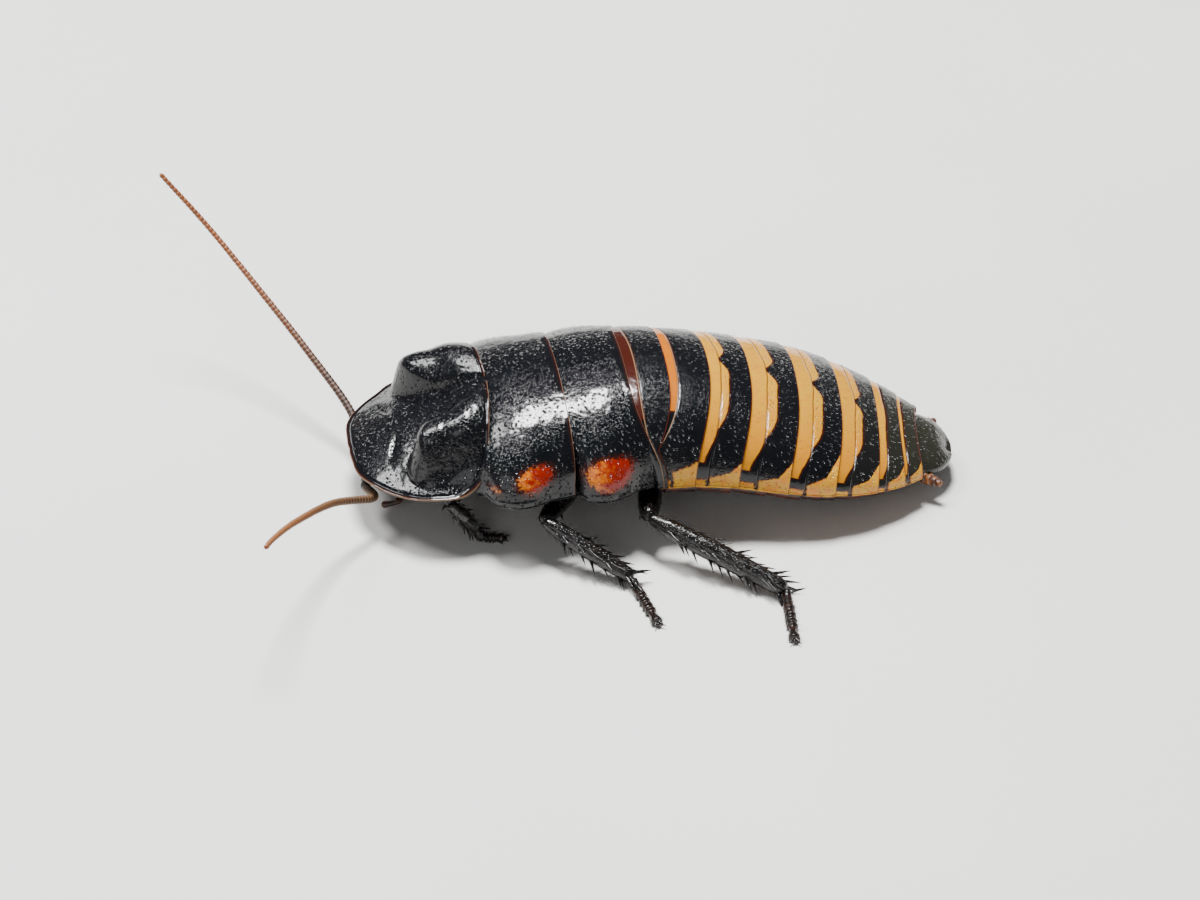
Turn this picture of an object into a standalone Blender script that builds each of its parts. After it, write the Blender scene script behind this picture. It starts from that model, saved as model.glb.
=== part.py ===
"""An adult male Madagascar hissing cockroach, life size, standing on a flat floor.

Lengths are in millimetres until the last step turns them into metres. In the body's own frame s runs
from the front of the pronotum to the tail, y runs across with the animal's left at negative y, z is up
and the floor is z = 0. The head points to -X, and the origin ends up under the middle of the whole
animal's box.
"""

import math
import random

import bmesh
import bpy
import numpy as np
from mathutils import Matrix, Vector

# Clearances and plate edges
GAP = 0.3
LAP = 1.0
LIP_EDGE = 0.22
LIP_ROOT = 0.55
TUCK = LIP_ROOT + GAP
RIM = 0.35
METRES = 0.001

# The body's long curve: straight through the thorax, then a slow bend to the animal's left
BEND_START = 30.0
BEND_RADIUS = 190.0

# Smooth profiles along s, each a few (s, value) stations
HALF_WIDTH = ((13.0, 12.6), (17.0, 13.2), (25.0, 13.2), (30.0, 12.4), (36.0, 11.9), (42.0, 12.1),
              (48.0, 12.4), (53.0, 11.7), (57.0, 10.2), (60.0, 8.4), (62.5, 6.3), (66.0, 3.0))
DOME_HEIGHT = ((14.0, 7.5), (17.5, 8.4), (22.4, 9.0), (29.5, 9.8), (34.0, 9.5), (38.8, 8.8),
               (43.5, 7.95), (48.7, 7.0), (53.6, 5.4), (57.8, 4.0), (60.3, 3.3), (62.2, 2.85))
MARGIN_LEVEL = ((10.0, 6.9), (32.0, 6.9), (38.8, 6.6), (43.5, 6.1), (48.5, 5.4), (53.5, 4.7),
                (57.8, 4.0), (62.0, 3.3), (66.0, 2.8))
BELLY_DEPTH = ((30.0, 2.8), (40.0, 3.3), (50.0, 3.0), (57.0, 2.3), (62.0, 1.7), (66.0, 1.2))
BELLY_INSET = 1.3

# The hind edge of each plate on the midline, how far its corners swing back (+) or forward (-), and how late
PRONOTUM_HIND = (14.8, -1.7)
MESONOTUM_HIND = (22.4, 0.3)
METANOTUM_HIND = (29.4, 3.0, 4.5)
TERGITE_HINDS = ((34.0, -3.4, 4.5), (38.8, -2.7), (43.4, -2.3), (48.7, -1.9), (53.6, -1.3),
                 (57.8, -0.4), (60.3, 0.4), (62.2, 0.6))
SWING_POWER = 2.5
LOBE_OUT, LOBE_POWER = 0.9, 5
FRONT_CORNER, HIND_CORNER = 1.6, 0.9
LEAST_STRIP = 0.8
TAIL_TIP = 65.8
STERNITE_HINDS = (36.4, 40.4, 44.4, 48.4, 52.2, 55.5, 58.3)
SUBGENITAL_TIP = 64.4
CERCUS_RINGS = (0.62, 0.74, 0.78, 0.74, 0.66, 0.54, 0.4)

# Roundness of the cross sections: the power of the sine that shapes the dome
DOME_POWER = 0.95
BELLY_POWER = 0.8

# Pronotum: its outline by angle from its centre (0 at the back), the levels of its margin and its midline,
# and the ridge of each horn
PRONOTUM_CENTRE = 7.6
PRONOTUM_RADIUS = ((0, 7.2), (20, 7.5), (38, 8.6), (52, 10.3), (59, 11.5), (66, 11.95), (74, 11.8),
                   (84, 11.4), (98, 10.75), (109, 9.9), (127, 9.0), (145, 8.4), (165, 7.55), (180, 7.3))
PRONOTUM_HALF_WIDTH = ((0.2, 0.8), (0.6, 4.4), (2.2, 7.3), (4.4, 9.4), (6.1, 10.6), (8.8, 11.4),
                       (11.3, 11.4), (14.8, 11.2))
PRONOTUM_MARGIN = ((0.0, 6.05), (2.2, 6.1), (4.4, 6.25), (6.0, 6.6), (8.8, 6.85), (12.0, 7.05),
                   (14.8, 7.1))
PRONOTUM_MIDLINE = ((0.3, 6.45), (2.5, 7.9), (5.5, 9.6), (8.9, 11.0), (11.0, 12.3), (13.0, 13.5),
                    (14.8, 14.3))
PRONOTUM_POWER = ((0.0, 0.8), (6.0, 1.4), (9.0, 1.4), (12.0, 0.8), (14.8, 0.52))
HORN_RIDGE = ((5.6, 0.0), (6.1, 1.9), (6.6, 3.8), (7.2, 4.3), (8.4, 4.4), (10.6, 3.9), (12.6, 2.8),
              (14.8, 1.3))
HORN_ASIDE, HORN_ROUND = 7.1, 0.2
HORN_INNER, HORN_OUTER, HORN_SHOULDER = 4.2, 1.9, 3.0
RIM_GROOVE, GROOVE_SHARE = 0.12, 0.965

# Head: a capsule hung under the pronotum, vertex in front and mouth behind and below
HEAD_VERTEX = (2.9, 0.0, 6.9)
HEAD_MOUTH = (5.6, 0.0, 1.7)
HEAD_SECTIONS = ((0.0, 0.3, 0.3), (0.03, 1.4, 0.8), (0.09, 2.35, 1.4), (0.18, 3.0, 1.85),
                 (0.34, 3.3, 2.15), (0.52, 3.2, 2.1), (0.7, 2.7, 1.8), (0.86, 2.2, 1.45), (1.0, 1.8, 1.1))
HEAD_SIDES, HEAD_SQUARENESS = 20, 2.6
PALP_ENDS = (0.0, 0.16, 0.36, 0.66, 1.0)

# Legs: coxa root, hip, knee, ankle and toe of each, in the straight frame of the thorax
LEGS = {
    ("front", "left"): ((7.6, -4.6, 4.9), (11.6, -3.5, 2.9), (9.9, -8.7, 4.7), (12.8, -9.1, 1.3),
                        (15.6, -9.9, 0.44)),
    ("front", "right"): ((7.6, 4.6, 4.9), (11.6, 3.5, 2.9), (8.2, 9.6, 4.9), (12.0, 11.4, 1.0),
                         (15.2, 14.2, 0.44)),
    ("middle", "left"): ((18.2, -5.8, 4.9), (24.2, -4.4, 2.8), (19.2, -13.2, 4.9), (27.9, -19.2, 1.0),
                         (29.2, -26.4, 0.44)),
    ("middle", "right"): ((18.2, 5.8, 4.9), (24.2, 4.4, 2.8), (19.6, 13.2, 4.9), (27.8, 18.9, 1.0),
                          (32.0, 24.2, 0.44)),
    ("hind", "left"): ((26.2, -5.8, 4.9), (32.5, -4.4, 2.7), (30.4, -13.8, 4.8), (43.6, -23.2, 1.0),
                       (42.8, -30.9, 0.44)),
    ("hind", "right"): ((26.2, 5.8, 4.9), (32.5, 4.4, 2.7), (30.6, 13.6, 4.8), (44.0, 19.4, 1.0),
                        (49.4, 21.2, 0.44)),
}
FEMUR_RADIUS = {"front": 1.0, "middle": 1.15, "hind": 1.3}
TIBIA_RADIUS = {"front": 0.85, "middle": 1.0, "hind": 1.15}
TARSUS_RADIUS = 0.56
TARSOMERE_ENDS = (0.0, 0.38, 0.52, 0.64, 0.75, 1.0)
HEEL_SHARE, HEEL_LEVEL = 0.2, 0.46
CLAW_LENGTH, CLAW_RADIUS, CLAW_SPREAD = 1.2, 0.24, 32

# Spines: how many stations of two each tibia carries, their length and root radius, and how they lean
TIBIA_STATIONS = {"front": 4, "middle": 6, "hind": 7}
TIBIA_SPINE = {"front": 1.6, "middle": 2.1, "hind": 2.5}
FEMUR_SPINES = 3
FEMUR_SPINE = 1.1
SPINE_RADIUS = 0.3
SPINE_LEAN = 40
SPINE_DROOP = 0.06
SPINE_LEAST_LEVEL = 0.12
SEED = 7

# How finely tubes follow their paths, and how far a cut's corners may reach past the clearance
PATH_STEPS = 48
CORNER_REACH = 1.8

# Feelers: the way each one takes from its socket to its tip
ANTENNA_LEFT = ((2.6, -1.5, 4.1), (1.6, -3.4, 3.9), (2.0, -6.6, 4.6), (-2.9, -10.8, 7.4), (-7.7, -18.0, 10.8),
                (-10.8, -25.3, 14.5), (-12.1, -29.3, 16.5))
ANTENNA_RIGHT = ((2.6, 1.5, 4.1), (1.7, 3.4, 3.9), (1.6, 8.1, 5.4), (-2.3, 15.0, 9.0), (-6.3, 20.8, 12.6),
                 (-11.6, 27.0, 17.8), (-16.6, 30.4, 23.1))
ANTENNA_RADIUS = (0.48, 0.27)
ANTENNA_RINGS = 28
RING_WAIST = 0.84


def remove_everything():
    for thing in list(bpy.data.objects):
        bpy.data.objects.remove(thing, do_unlink=True)


def through(stations, at):
    """A smooth curve through (place, value) stations that never overshoots them."""
    xs = np.array([p for p, _ in stations], float)
    ys = np.array([v for _, v in stations], float)
    steps = np.diff(ys) / np.diff(xs)
    slopes = np.zeros(len(xs))
    slopes[0], slopes[-1] = steps[0], steps[-1]
    for i in range(1, len(xs) - 1):
        if steps[i - 1] * steps[i] > 0:
            slopes[i] = 2 * steps[i - 1] * steps[i] / (steps[i - 1] + steps[i])
    at = min(max(at, xs[0]), xs[-1])
    i = min(max(int(np.searchsorted(xs, at)) - 1, 0), len(xs) - 2)
    width = xs[i + 1] - xs[i]
    t = (at - xs[i]) / width
    return float(
        (1 + 2 * t) * (1 - t) ** 2 * ys[i]
        + t * (1 - t) ** 2 * width * slopes[i]
        + t * t * (3 - 2 * t) * ys[i + 1]
        + t * t * (t - 1) * width * slopes[i + 1]
    )


def in_body(s, y, z):
    """The place of (s, y, z) once the body's long curve is followed."""
    past = max(s - BEND_START, 0.0)
    turn = past / BEND_RADIUS
    along = min(s, BEND_START) + BEND_RADIUS * math.sin(turn)
    aside = -BEND_RADIUS * (1 - math.cos(turn))
    return Vector((along + y * math.sin(turn), aside + y * math.cos(turn), z))


def finish(name, colour, roughness=0.3, metallic=0.0):
    """A Principled material for one piece."""
    material = bpy.data.materials.new(name)
    material.use_nodes = True
    surface = material.node_tree.nodes["Principled BSDF"]
    surface.inputs["Base Color"].default_value = (*colour, 1.0)
    surface.inputs["Roughness"].default_value = roughness
    surface.inputs["Metallic"].default_value = metallic
    return material


BLACK = (0.012, 0.012, 0.016)
BAND = (0.62, 0.33, 0.08)
AMBER = (0.25, 0.08, 0.02)
DARK_RED = (0.06, 0.02, 0.012)
EYE = (0.02, 0.012, 0.01)


def make_node(name, mesh, colour, roughness=0.3):
    """Turns a bmesh into a named object with its faces outwards."""
    bmesh.ops.remove_doubles(mesh, verts=mesh.verts, dist=1e-3)
    bmesh.ops.recalc_face_normals(mesh, faces=mesh.faces)
    data = bpy.data.meshes.new(name)
    mesh.to_mesh(data)
    mesh.free()
    node = bpy.data.objects.new(name, data)
    bpy.context.scene.collection.objects.link(node)
    data.materials.append(finish(name, colour, roughness))
    data.shade_smooth()
    data.set_sharp_from_angle(angle=math.radians(40))
    return node


def bridge(rings, ends="polygon"):
    """A closed skin over rings that hold the same number of points each."""
    mesh = bmesh.new()
    rows = [[mesh.verts.new(point) for point in ring] for ring in rings]
    for low, high in zip(rows, rows[1:]):
        for i in range(len(low)):
            j = (i + 1) % len(low)
            mesh.faces.new((low[i], low[j], high[j], high[i]))
    for row in (rows[0], rows[-1]):
        if ends == "polygon":
            mesh.faces.new(row)
            continue
        middle = mesh.verts.new(sum((v.co for v in row), Vector()) / len(row))
        for i in range(len(row)):
            mesh.faces.new((row[i], row[(i + 1) % len(row)], middle))
    return mesh


def largest_body(mesh):
    """Keeps the closed surface that holds the most volume."""
    left = set(mesh.faces)
    bodies = []
    while left:
        body = {left.pop()}
        edge_of_body = list(body)
        while edge_of_body:
            for edge in edge_of_body.pop().edges:
                for face in edge.link_faces:
                    if face in left:
                        left.discard(face)
                        body.add(face)
                        edge_of_body.append(face)
        bodies.append(body)
    if len(bodies) > 1:

        def volume(body):
            total = 0.0
            for face in body:
                corners = [loop.vert.co for loop in face.loops]
                for a, b in zip(corners[1:], corners[2:]):
                    total += corners[0].dot(a.cross(b))
            return abs(total)

        keep = max(bodies, key=volume)
        bmesh.ops.delete(mesh, geom=[f for f in mesh.faces if f not in keep], context="FACES")


def settle(node, modifier):
    """Applies a modifier and keeps the node's one largest closed surface."""
    graph = bpy.context.evaluated_depsgraph_get()
    mesh = bmesh.new()
    mesh.from_mesh(node.evaluated_get(graph).data)
    node.modifiers.remove(modifier)
    largest_body(mesh)
    bmesh.ops.dissolve_degenerate(mesh, dist=1e-4, edges=mesh.edges)
    mesh.to_mesh(node.data)
    mesh.free()


def carve(node, *neighbours):
    """Cuts the room for each neighbour out of a node, with the clearance all round it."""
    for other in neighbours:
        mesh = bmesh.new()
        mesh.from_mesh(other.data)
        mesh.normal_update()
        moves = [v.normal * min(v.calc_shell_factor(), CORNER_REACH) * GAP for v in mesh.verts]
        for vert, move in zip(mesh.verts, moves):
            vert.co += move
        data = bpy.data.meshes.new("room")
        mesh.to_mesh(data)
        mesh.free()
        room = bpy.data.objects.new("room", data)
        bpy.context.scene.collection.objects.link(room)
        cut = node.modifiers.new("cut", "BOOLEAN")
        cut.operation = "DIFFERENCE"
        cut.solver = "MANIFOLD"
        cut.object = room
        settle(node, cut)
        bpy.data.objects.remove(room, do_unlink=True)
        bpy.data.meshes.remove(data)


def edge(hind):
    """The hind edge of a plate as a function of u, the share of the half width."""
    middle, swing, power = (*hind, SWING_POWER)[:3]
    return lambda u: middle + swing * abs(u) ** power


def plate(name, colour, front, hind, half_width, height, level, up=1, tucked=True, power=DOME_POWER,
          slices=17, lobe=lambda s: 0.0):
    """One body plate. Its front is tucked under the plate before it, and its hind lip covers the next one."""
    def side(s, offset, u):
        return (half_width(s) + offset + lobe(s) * abs(u) ** LOBE_POWER) * u

    slices_of_points = []
    for angle in np.linspace(0, math.pi, slices):
        u = math.cos(angle)
        rise = math.sin(angle) ** power
        start, end = front(u), hind(u)
        root = end - LAP
        tuck = TUCK if tucked else 0.0
        length = end - start
        top = [(start, -tuck)]
        if tucked:
            top += [(start + 0.25 * length, -0.55 * tuck), (start + 0.55 * length, -0.2 * tuck)]
        top += [(end, 0.0), (end, -LIP_EDGE), (root, -LIP_ROOT)]
        points = []
        for s, offset in top:
            tall = RIM + (height(s) + offset - RIM) * rise
            points.append(in_body(s, side(s, offset, u), level(s) + up * tall))
        for s, offset in ((root, -LIP_ROOT), (start, -tuck)):
            points.append(in_body(s, side(s, offset, u), level(s)))
        slices_of_points.append(points)
    return make_node(name, bridge(slices_of_points), colour)


def body_half_width(s):
    return through(HALF_WIDTH, s)


def dome_height(s):
    return through(DOME_HEIGHT, s)


def margin_level(s):
    return through(MARGIN_LEVEL, s)


def lobes(front, hind):
    """How far a thoracic plate's margin stands out: a cut front corner, a full side, drawn in behind."""
    def lobe(s):
        share = min(max((s - front) / (hind - front), 0.0), 1.0)
        out = LOBE_OUT * math.sin(math.pi * min(1.4 * share, 1.0))
        return out - FRONT_CORNER * max(1 - share / 0.16, 0.0) ** 2 - HIND_CORNER * share ** 3
    return lobe


def pronotum_height(s, y):
    """How high the pronotum's top stands over its margin: a dome with a blunt horn each side."""
    half = through(PRONOTUM_HALF_WIDTH, s)
    inside = max(1 - (y / half) ** 2, 0.0)
    middle = through(PRONOTUM_MIDLINE, s) - pronotum_level(s)
    base = RIM + (middle - RIM) * inside ** through(PRONOTUM_POWER, s)
    off = abs(y) - HORN_ASIDE
    fall = (off / HORN_INNER) ** 2 if off < 0 else (off / HORN_OUTER) ** HORN_SHOULDER
    ridge = through(HORN_RIDGE, s - HORN_ROUND * off ** 2)
    return base + ridge * math.exp(-fall) * min(inside * 4, 1.0)


def pronotum_level(s):
    """The level of the pronotum's margin, which droops towards the front."""
    return through(PRONOTUM_MARGIN, s)


def build_pronotum():
    """The shield over the head, with its two horns, as rings round a centre point."""
    around = 52
    shares = (0.16, 0.32, 0.45, 0.55, 0.64, 0.73, 0.82, 0.91, 0.965, 1.0)
    mesh = bmesh.new()

    def ring(inset_share, inset, height):
        row = []
        for i in range(around):
            angle = 2 * math.pi * i / around
            degrees = math.degrees(min(angle, 2 * math.pi - angle))
            radius = through(PRONOTUM_RADIUS, degrees) * inset_share - inset
            s = PRONOTUM_CENTRE + radius * math.cos(angle)
            y = radius * math.sin(angle)
            row.append(mesh.verts.new((s, y, pronotum_level(s) + height(s, y))))
        return row

    rows = [ring(share, 0.0, pronotum_height) for share in shares]
    rows[-2:-1] = [ring(GROOVE_SHARE, 0.0, lambda s, y: pronotum_height(s, y) - RIM_GROOVE)]
    rows.append(ring(1.0, 0.0, lambda s, y: pronotum_height(s, y) - LIP_EDGE))
    rows.append(ring(1.0, LAP, lambda s, y: max(pronotum_height(s, y) - LIP_ROOT - 0.1, 0.1)))
    rows.append(ring(1.0, LAP + GAP, lambda s, y: 0.0))
    for low, high in zip(rows, rows[1:]):
        for i in range(around):
            j = (i + 1) % around
            mesh.faces.new((low[i], low[j], high[j], high[i]))
    level = pronotum_level(PRONOTUM_CENTRE)
    tops = mesh.verts.new((PRONOTUM_CENTRE, 0.0, level + pronotum_height(PRONOTUM_CENTRE, 0.0)))
    base = mesh.verts.new((PRONOTUM_CENTRE, 0.0, level))
    for row, middle in ((rows[0], tops), (rows[-1], base)):
        for i in range(around):
            mesh.faces.new((row[i], row[(i + 1) % around], middle))
    return make_node("pronotum", mesh, BLACK)


def build_thorax_plates(pronotum):
    """The second and third thoracic plates, each cut clear of the one that covers its front."""
    nodes = []
    before = pronotum
    hinds = (PRONOTUM_HIND, MESONOTUM_HIND, METANOTUM_HIND)
    for name, front, hind in zip(("mesonotum", "metanotum"), hinds, hinds[1:]):
        front_edge = edge(front)
        node = plate(name, BLACK, lambda u: front_edge(u) - LAP + GAP, edge(hind),
                     body_half_width, dome_height, margin_level, slices=21,
                     lobe=lobes(front[0] + front[1], hind[0] + hind[1]))
        carve(node, before)
        nodes.append(node)
        before = node
    return nodes


def build_tergites(metanotum):
    """The eight tergites of the abdomen. The first closes to a thin strip at its sides."""
    before = edge(METANOTUM_HIND)
    for number, hind in enumerate(TERGITE_HINDS, 1):
        own = edge(hind)
        last = before

        def hind_edge(u, own=own, last=last):
            return max(own(u), last(u) + LEAST_STRIP)

        colour = BAND if 2 < number < 8 else BLACK
        node = plate(f"tergite_{number}", colour, lambda u, last=last: last(u) - LAP + GAP, hind_edge,
                     body_half_width, dome_height, margin_level)
        if number < 3:
            carve(node, metanotum)
        before = hind_edge
    return before


def tail_plate(name, colour, front, tip, half_width, height, level, up, power):
    """A rounded end plate that narrows to its tip."""
    mesh_rings = []
    root = front(0.0)
    for share in (0.0, 0.25, 0.5, 0.72, 0.88, 0.97):
        shrink = math.sqrt(1 - share ** 2)
        ring = []
        for angle in np.linspace(0, math.pi, 13):
            u = math.cos(angle)
            start = front(u)
            s = start + (tip - root) * share
            tall = RIM + (height - RIM) * math.sin(angle) ** power * (0.35 + 0.65 * shrink)
            ring.append(in_body(s, half_width * shrink * u, level(s) + up * tall))
        for angle in np.linspace(math.pi, 0, 13):
            u = math.cos(angle)
            s = front(u) + (tip - root) * share
            ring.append(in_body(s, half_width * shrink * u, level(s)))
        mesh_rings.append(ring)
    return make_node(name, bridge(mesh_rings), colour)


def build_tail(last_tergite):
    """The plate over the vent and the plate below it, with a cercus each side between them."""
    top = tail_plate("supra_anal_plate", BLACK, lambda u: last_tergite(u) - LAP + GAP, TAIL_TIP, 5.2, 2.1,
                     margin_level, 1, DOME_POWER)
    below = tail_plate("subgenital_plate", DARK_RED, lambda u: STERNITE_HINDS[-1] - LAP + GAP, SUBGENITAL_TIP,
                       6.0, 1.6, lambda s: margin_level(s) - GAP, -1, BELLY_POWER)
    for side, sign in (("left", -1), ("right", 1)):
        path = [(61.6, sign * 3.4, 2.9), (63.3, sign * 4.9, 2.7), (65.0, sign * 5.9, 2.6)]
        rings = [(0.0, 0.5)]
        for k, wide in enumerate(CERCUS_RINGS):
            start = 0.02 + 0.95 * k / len(CERCUS_RINGS)
            rings += [(start + 0.02, wide * RING_WAIST), (start + 0.1, wide)]
        cercus = tube(f"cercus_{side}", AMBER, [in_body(*p) for p in path], rings + [(1.0, 0.15)], sides=7)
        carve(top, cercus)
        carve(below, cercus)
    return top, below


def build_belly():
    """The abdomen's lower plates."""
    def half_width(s):
        return body_half_width(s) - BELLY_INSET

    def level(s):
        return margin_level(s) - GAP

    def depth(s):
        return through(BELLY_DEPTH, s)

    last = 32.9
    nodes = []
    for number, hind in enumerate(STERNITE_HINDS, 1):
        nodes.append(plate(f"sternite_{number}", DARK_RED, lambda u, last=last: last,
                           lambda u, hind=hind: hind, half_width, depth, level, up=-1,
                           tucked=number > 1, power=BELLY_POWER, slices=13))
        last = hind - LAP + GAP
    return nodes


def build_thorax_base():
    """The three lower pieces of the thorax, which carry the legs."""
    nodes = []
    spans = (("prosternum", 6.0, 13.5, 7.15, 4.4), ("mesosternum", 13.8, 22.2, 6.6, 4.0),
             ("metasternum", 22.5, 32.6, 6.6, 3.8))
    for name, front, back, top, low in spans:
        rings = []
        for share in (0.0, 0.15, 0.5, 0.85, 1.0):
            s = front + (back - front) * share
            swell = 0.85 + 0.15 * math.sin(math.pi * share)
            rings.append([in_body(s, y * swell, z) for y, z in (
                (-7.6, top), (-7.2, 0.6 * top + 0.4 * low), (-5.4, low + 0.3), (-2.5, low),
                (2.5, low), (5.4, low + 0.3), (7.2, 0.6 * top + 0.4 * low), (7.6, top))])
        nodes.append(make_node(name, bridge(rings), DARK_RED))
    return nodes


def along(points, count):
    """Evenly spaced points on a smooth curve through the given ones."""
    points = [Vector(p) for p in points]
    ends = [2 * points[0] - points[1]] + points + [2 * points[-1] - points[-2]]
    fine = []
    for a, b, c, d in zip(ends, ends[1:], ends[2:], ends[3:]):
        for step in range(12):
            t = step / 12
            fine.append(0.5 * (2 * b + (c - a) * t + (2 * a - 5 * b + 4 * c - d) * t * t
                               + (3 * b - a - 3 * c + d) * t ** 3))
    fine.append(points[-1])
    lengths = np.concatenate([[0.0], np.cumsum([(q - p).length for p, q in zip(fine, fine[1:])])])
    found = []
    for share in np.linspace(0, 1, count):
        place = share * lengths[-1]
        i = min(int(np.searchsorted(lengths, place, side="right")) - 1, len(fine) - 2)
        rest = (place - lengths[i]) / (lengths[i + 1] - lengths[i])
        found.append(fine[i].lerp(fine[i + 1], rest))
    return found


def tube(name, colour, path, stations, sides=8, deep=1.0, floor=None, roughness=0.3):
    """A tapering limb along a path. Stations give (share of the length, radius); deep makes it taller."""
    fine = along(path, PATH_STEPS + 1)
    rings = []
    for share, radius in stations:
        place = min(max(share, 0.0), 1.0) * PATH_STEPS
        i = min(int(place), PATH_STEPS - 1)
        centre = fine[i].lerp(fine[i + 1], place - i)
        ahead = (fine[min(i + 2, PATH_STEPS)] - fine[max(i - 1, 0)]).normalized()
        aside = ahead.cross(Vector((0, 0, 1))).normalized()
        upward = aside.cross(ahead).normalized()
        ring = []
        for k in range(sides):
            angle = 2 * math.pi * (k + 0.5) / sides
            point = centre + aside * radius * math.cos(angle) + upward * radius * deep * math.sin(angle)
            if floor is not None:
                point.z = max(point.z, floor)
            ring.append(point)
        rings.append(ring)
    return make_node(name, bridge(rings), colour, roughness)


def spine(root, ahead, length, radius):
    """One closed tapering spine as a hidden piece: a square root, a waist past the middle and a point."""
    ahead = ahead.normalized()
    aside = ahead.cross(Vector((0, 0, 1))).normalized()
    upward = aside.cross(ahead)
    mesh = bmesh.new()
    rows = []
    for share, wide in ((0.0, 1.0), (0.55, 0.62)):
        centre = root + ahead * length * share
        corners = ((1, 0), (0, 1), (-1, 0), (0, -1))
        row = [centre + (aside * x + upward * y) * radius * wide for x, y in corners]
        rows.append([mesh.verts.new(point) for point in row])
    tip = mesh.verts.new(root + ahead * length - upward * SPINE_DROOP * length)
    mesh.faces.new(rows[0])
    for i in range(4):
        j = (i + 1) % 4
        mesh.faces.new((rows[0][i], rows[0][j], rows[1][j], rows[1][i]))
        mesh.faces.new((rows[1][i], rows[1][j], tip))
    for vert in mesh.verts:
        vert.co.z = max(vert.co.z, SPINE_LEAST_LEVEL)
    bmesh.ops.recalc_face_normals(mesh, faces=mesh.faces)
    data = bpy.data.meshes.new("spine")
    mesh.to_mesh(data)
    mesh.free()
    return bpy.data.objects.new("spine", data)


def join(node, pieces):
    """One union of a node with all the small pieces that grow from it."""
    group = bpy.data.collections.new("pieces")
    for piece in pieces:
        group.objects.link(piece)
    union = node.modifiers.new("join", "BOOLEAN")
    union.operation = "UNION"
    union.solver = "MANIFOLD"
    union.operand_type = "COLLECTION"
    union.collection = group
    settle(node, union)
    for piece in pieces:
        bpy.data.objects.remove(piece, do_unlink=True)
    bpy.data.collections.remove(group)


def tibia_spines(knee, ankle, pair, chance):
    """Pairs of spines down a tibia, the upper and the lower rows in turn, and two long spurs at its end."""
    ahead = (ankle - knee).normalized()
    aside = ahead.cross(Vector((0, 0, 1))).normalized()
    upward = aside.cross(ahead)
    stations = TIBIA_STATIONS[pair]
    pieces = []
    for k in range(stations):
        share = 0.2 + 0.74 * k / (stations - 1)
        tilt = math.radians(28 if k % 2 else -24)
        for sign in (-1, 1):
            out = aside * sign * math.cos(tilt) + upward * math.sin(tilt)
            lean = math.radians(SPINE_LEAN + chance.uniform(-7, 7))
            length = TIBIA_SPINE[pair] * chance.uniform(0.85, 1.1) * (1.15 if k == stations - 1 else 1.0)
            root = knee.lerp(ankle, share + chance.uniform(-0.02, 0.02)) + out * 0.2 * TIBIA_RADIUS[pair]
            way = out * math.sin(lean) + ahead * math.cos(lean)
            pieces.append(spine(root, way, length + 0.5, SPINE_RADIUS))
    return pieces


def femur_spines(hip, knee, pair, chance):
    """A few short spines along the lower edge of a femur, near the knee."""
    ahead = (knee - hip).normalized()
    aside = ahead.cross(Vector((0, 0, 1))).normalized()
    below = ahead.cross(aside)
    pieces = []
    for k in range(FEMUR_SPINES):
        out = (below + aside * (0.8 if k % 2 else -0.8)).normalized()
        root = hip.lerp(knee, 0.55 + 0.13 * k) + out * 0.3 * FEMUR_RADIUS[pair]
        length = FEMUR_SPINE * chance.uniform(0.9, 1.1)
        pieces.append(spine(root, out + ahead * 0.7, length + 0.6, SPINE_RADIUS))
    return pieces


def claws(ankle, toe):
    """The two claws at the end of a foot."""
    ahead = (toe - ankle).normalized()
    ahead.z = 0.0
    pieces = []
    for sign in (-1, 1):
        turned = Matrix.Rotation(math.radians(sign * CLAW_SPREAD), 3, "Z") @ ahead
        pieces.append(spine(toe - ahead * 0.35 + Vector((0, 0, 0.12)), turned + Vector((0, 0, -0.12)),
                            CLAW_LENGTH, CLAW_RADIUS))
    return pieces


def build_leg(pair, side, chance):
    """Coxa, femur, tibia and tarsus of one leg, each cut clear of the next."""
    root, hip, knee, ankle, toe = [Vector(p) for p in LEGS[pair, side]]
    thick, thin = FEMUR_RADIUS[pair], TIBIA_RADIUS[pair]
    coxa = tube(f"coxa_{pair}_{side}", BLACK, (root, hip),
                ((0.0, 1.0), (0.1, 1.5), (0.4, 1.75), (0.8, 1.35), (1.0, 0.9), (1.05, 0.5)), deep=0.85)
    femur = tube(f"femur_{pair}_{side}", BLACK, (hip, knee),
                 ((0.0, 0.5), (0.05, 0.8), (0.3, thick), (0.65, thick * 0.95), (0.9, thick * 0.75),
                  (1.0, 0.5)), deep=0.9)
    join(femur, femur_spines(hip, knee, pair, chance))
    tibia = tube(f"tibia_{pair}_{side}", BLACK, (knee, ankle),
                 ((0.0, 0.45), (0.05, 0.66), (0.15, thin * 0.85), (0.45, thin), (0.93, thin * 0.82),
                  (1.0, 0.55)))
    join(tibia, tibia_spines(knee, ankle, pair, chance))
    heel = ankle.lerp(toe, HEEL_SHARE)
    heel.z = HEEL_LEVEL
    stations = [(0.0, 0.28)]
    for start, end in zip(TARSOMERE_ENDS, TARSOMERE_ENDS[1:]):
        stations += [(start + 0.02, 0.72 * TARSUS_RADIUS), (end - 0.05, 1.15 * TARSUS_RADIUS),
                     (end - 0.01, 0.85 * TARSUS_RADIUS)]
    tarsus = tube(f"tarsus_{pair}_{side}", BLACK, (ankle, heel, toe), stations + [(1.0, 0.28)],
                  sides=7, floor=0.0)
    join(tarsus, claws(heel, toe))
    carve(tibia, tarsus)
    carve(femur, tibia)
    carve(coxa, femur)
    return coxa


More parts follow.
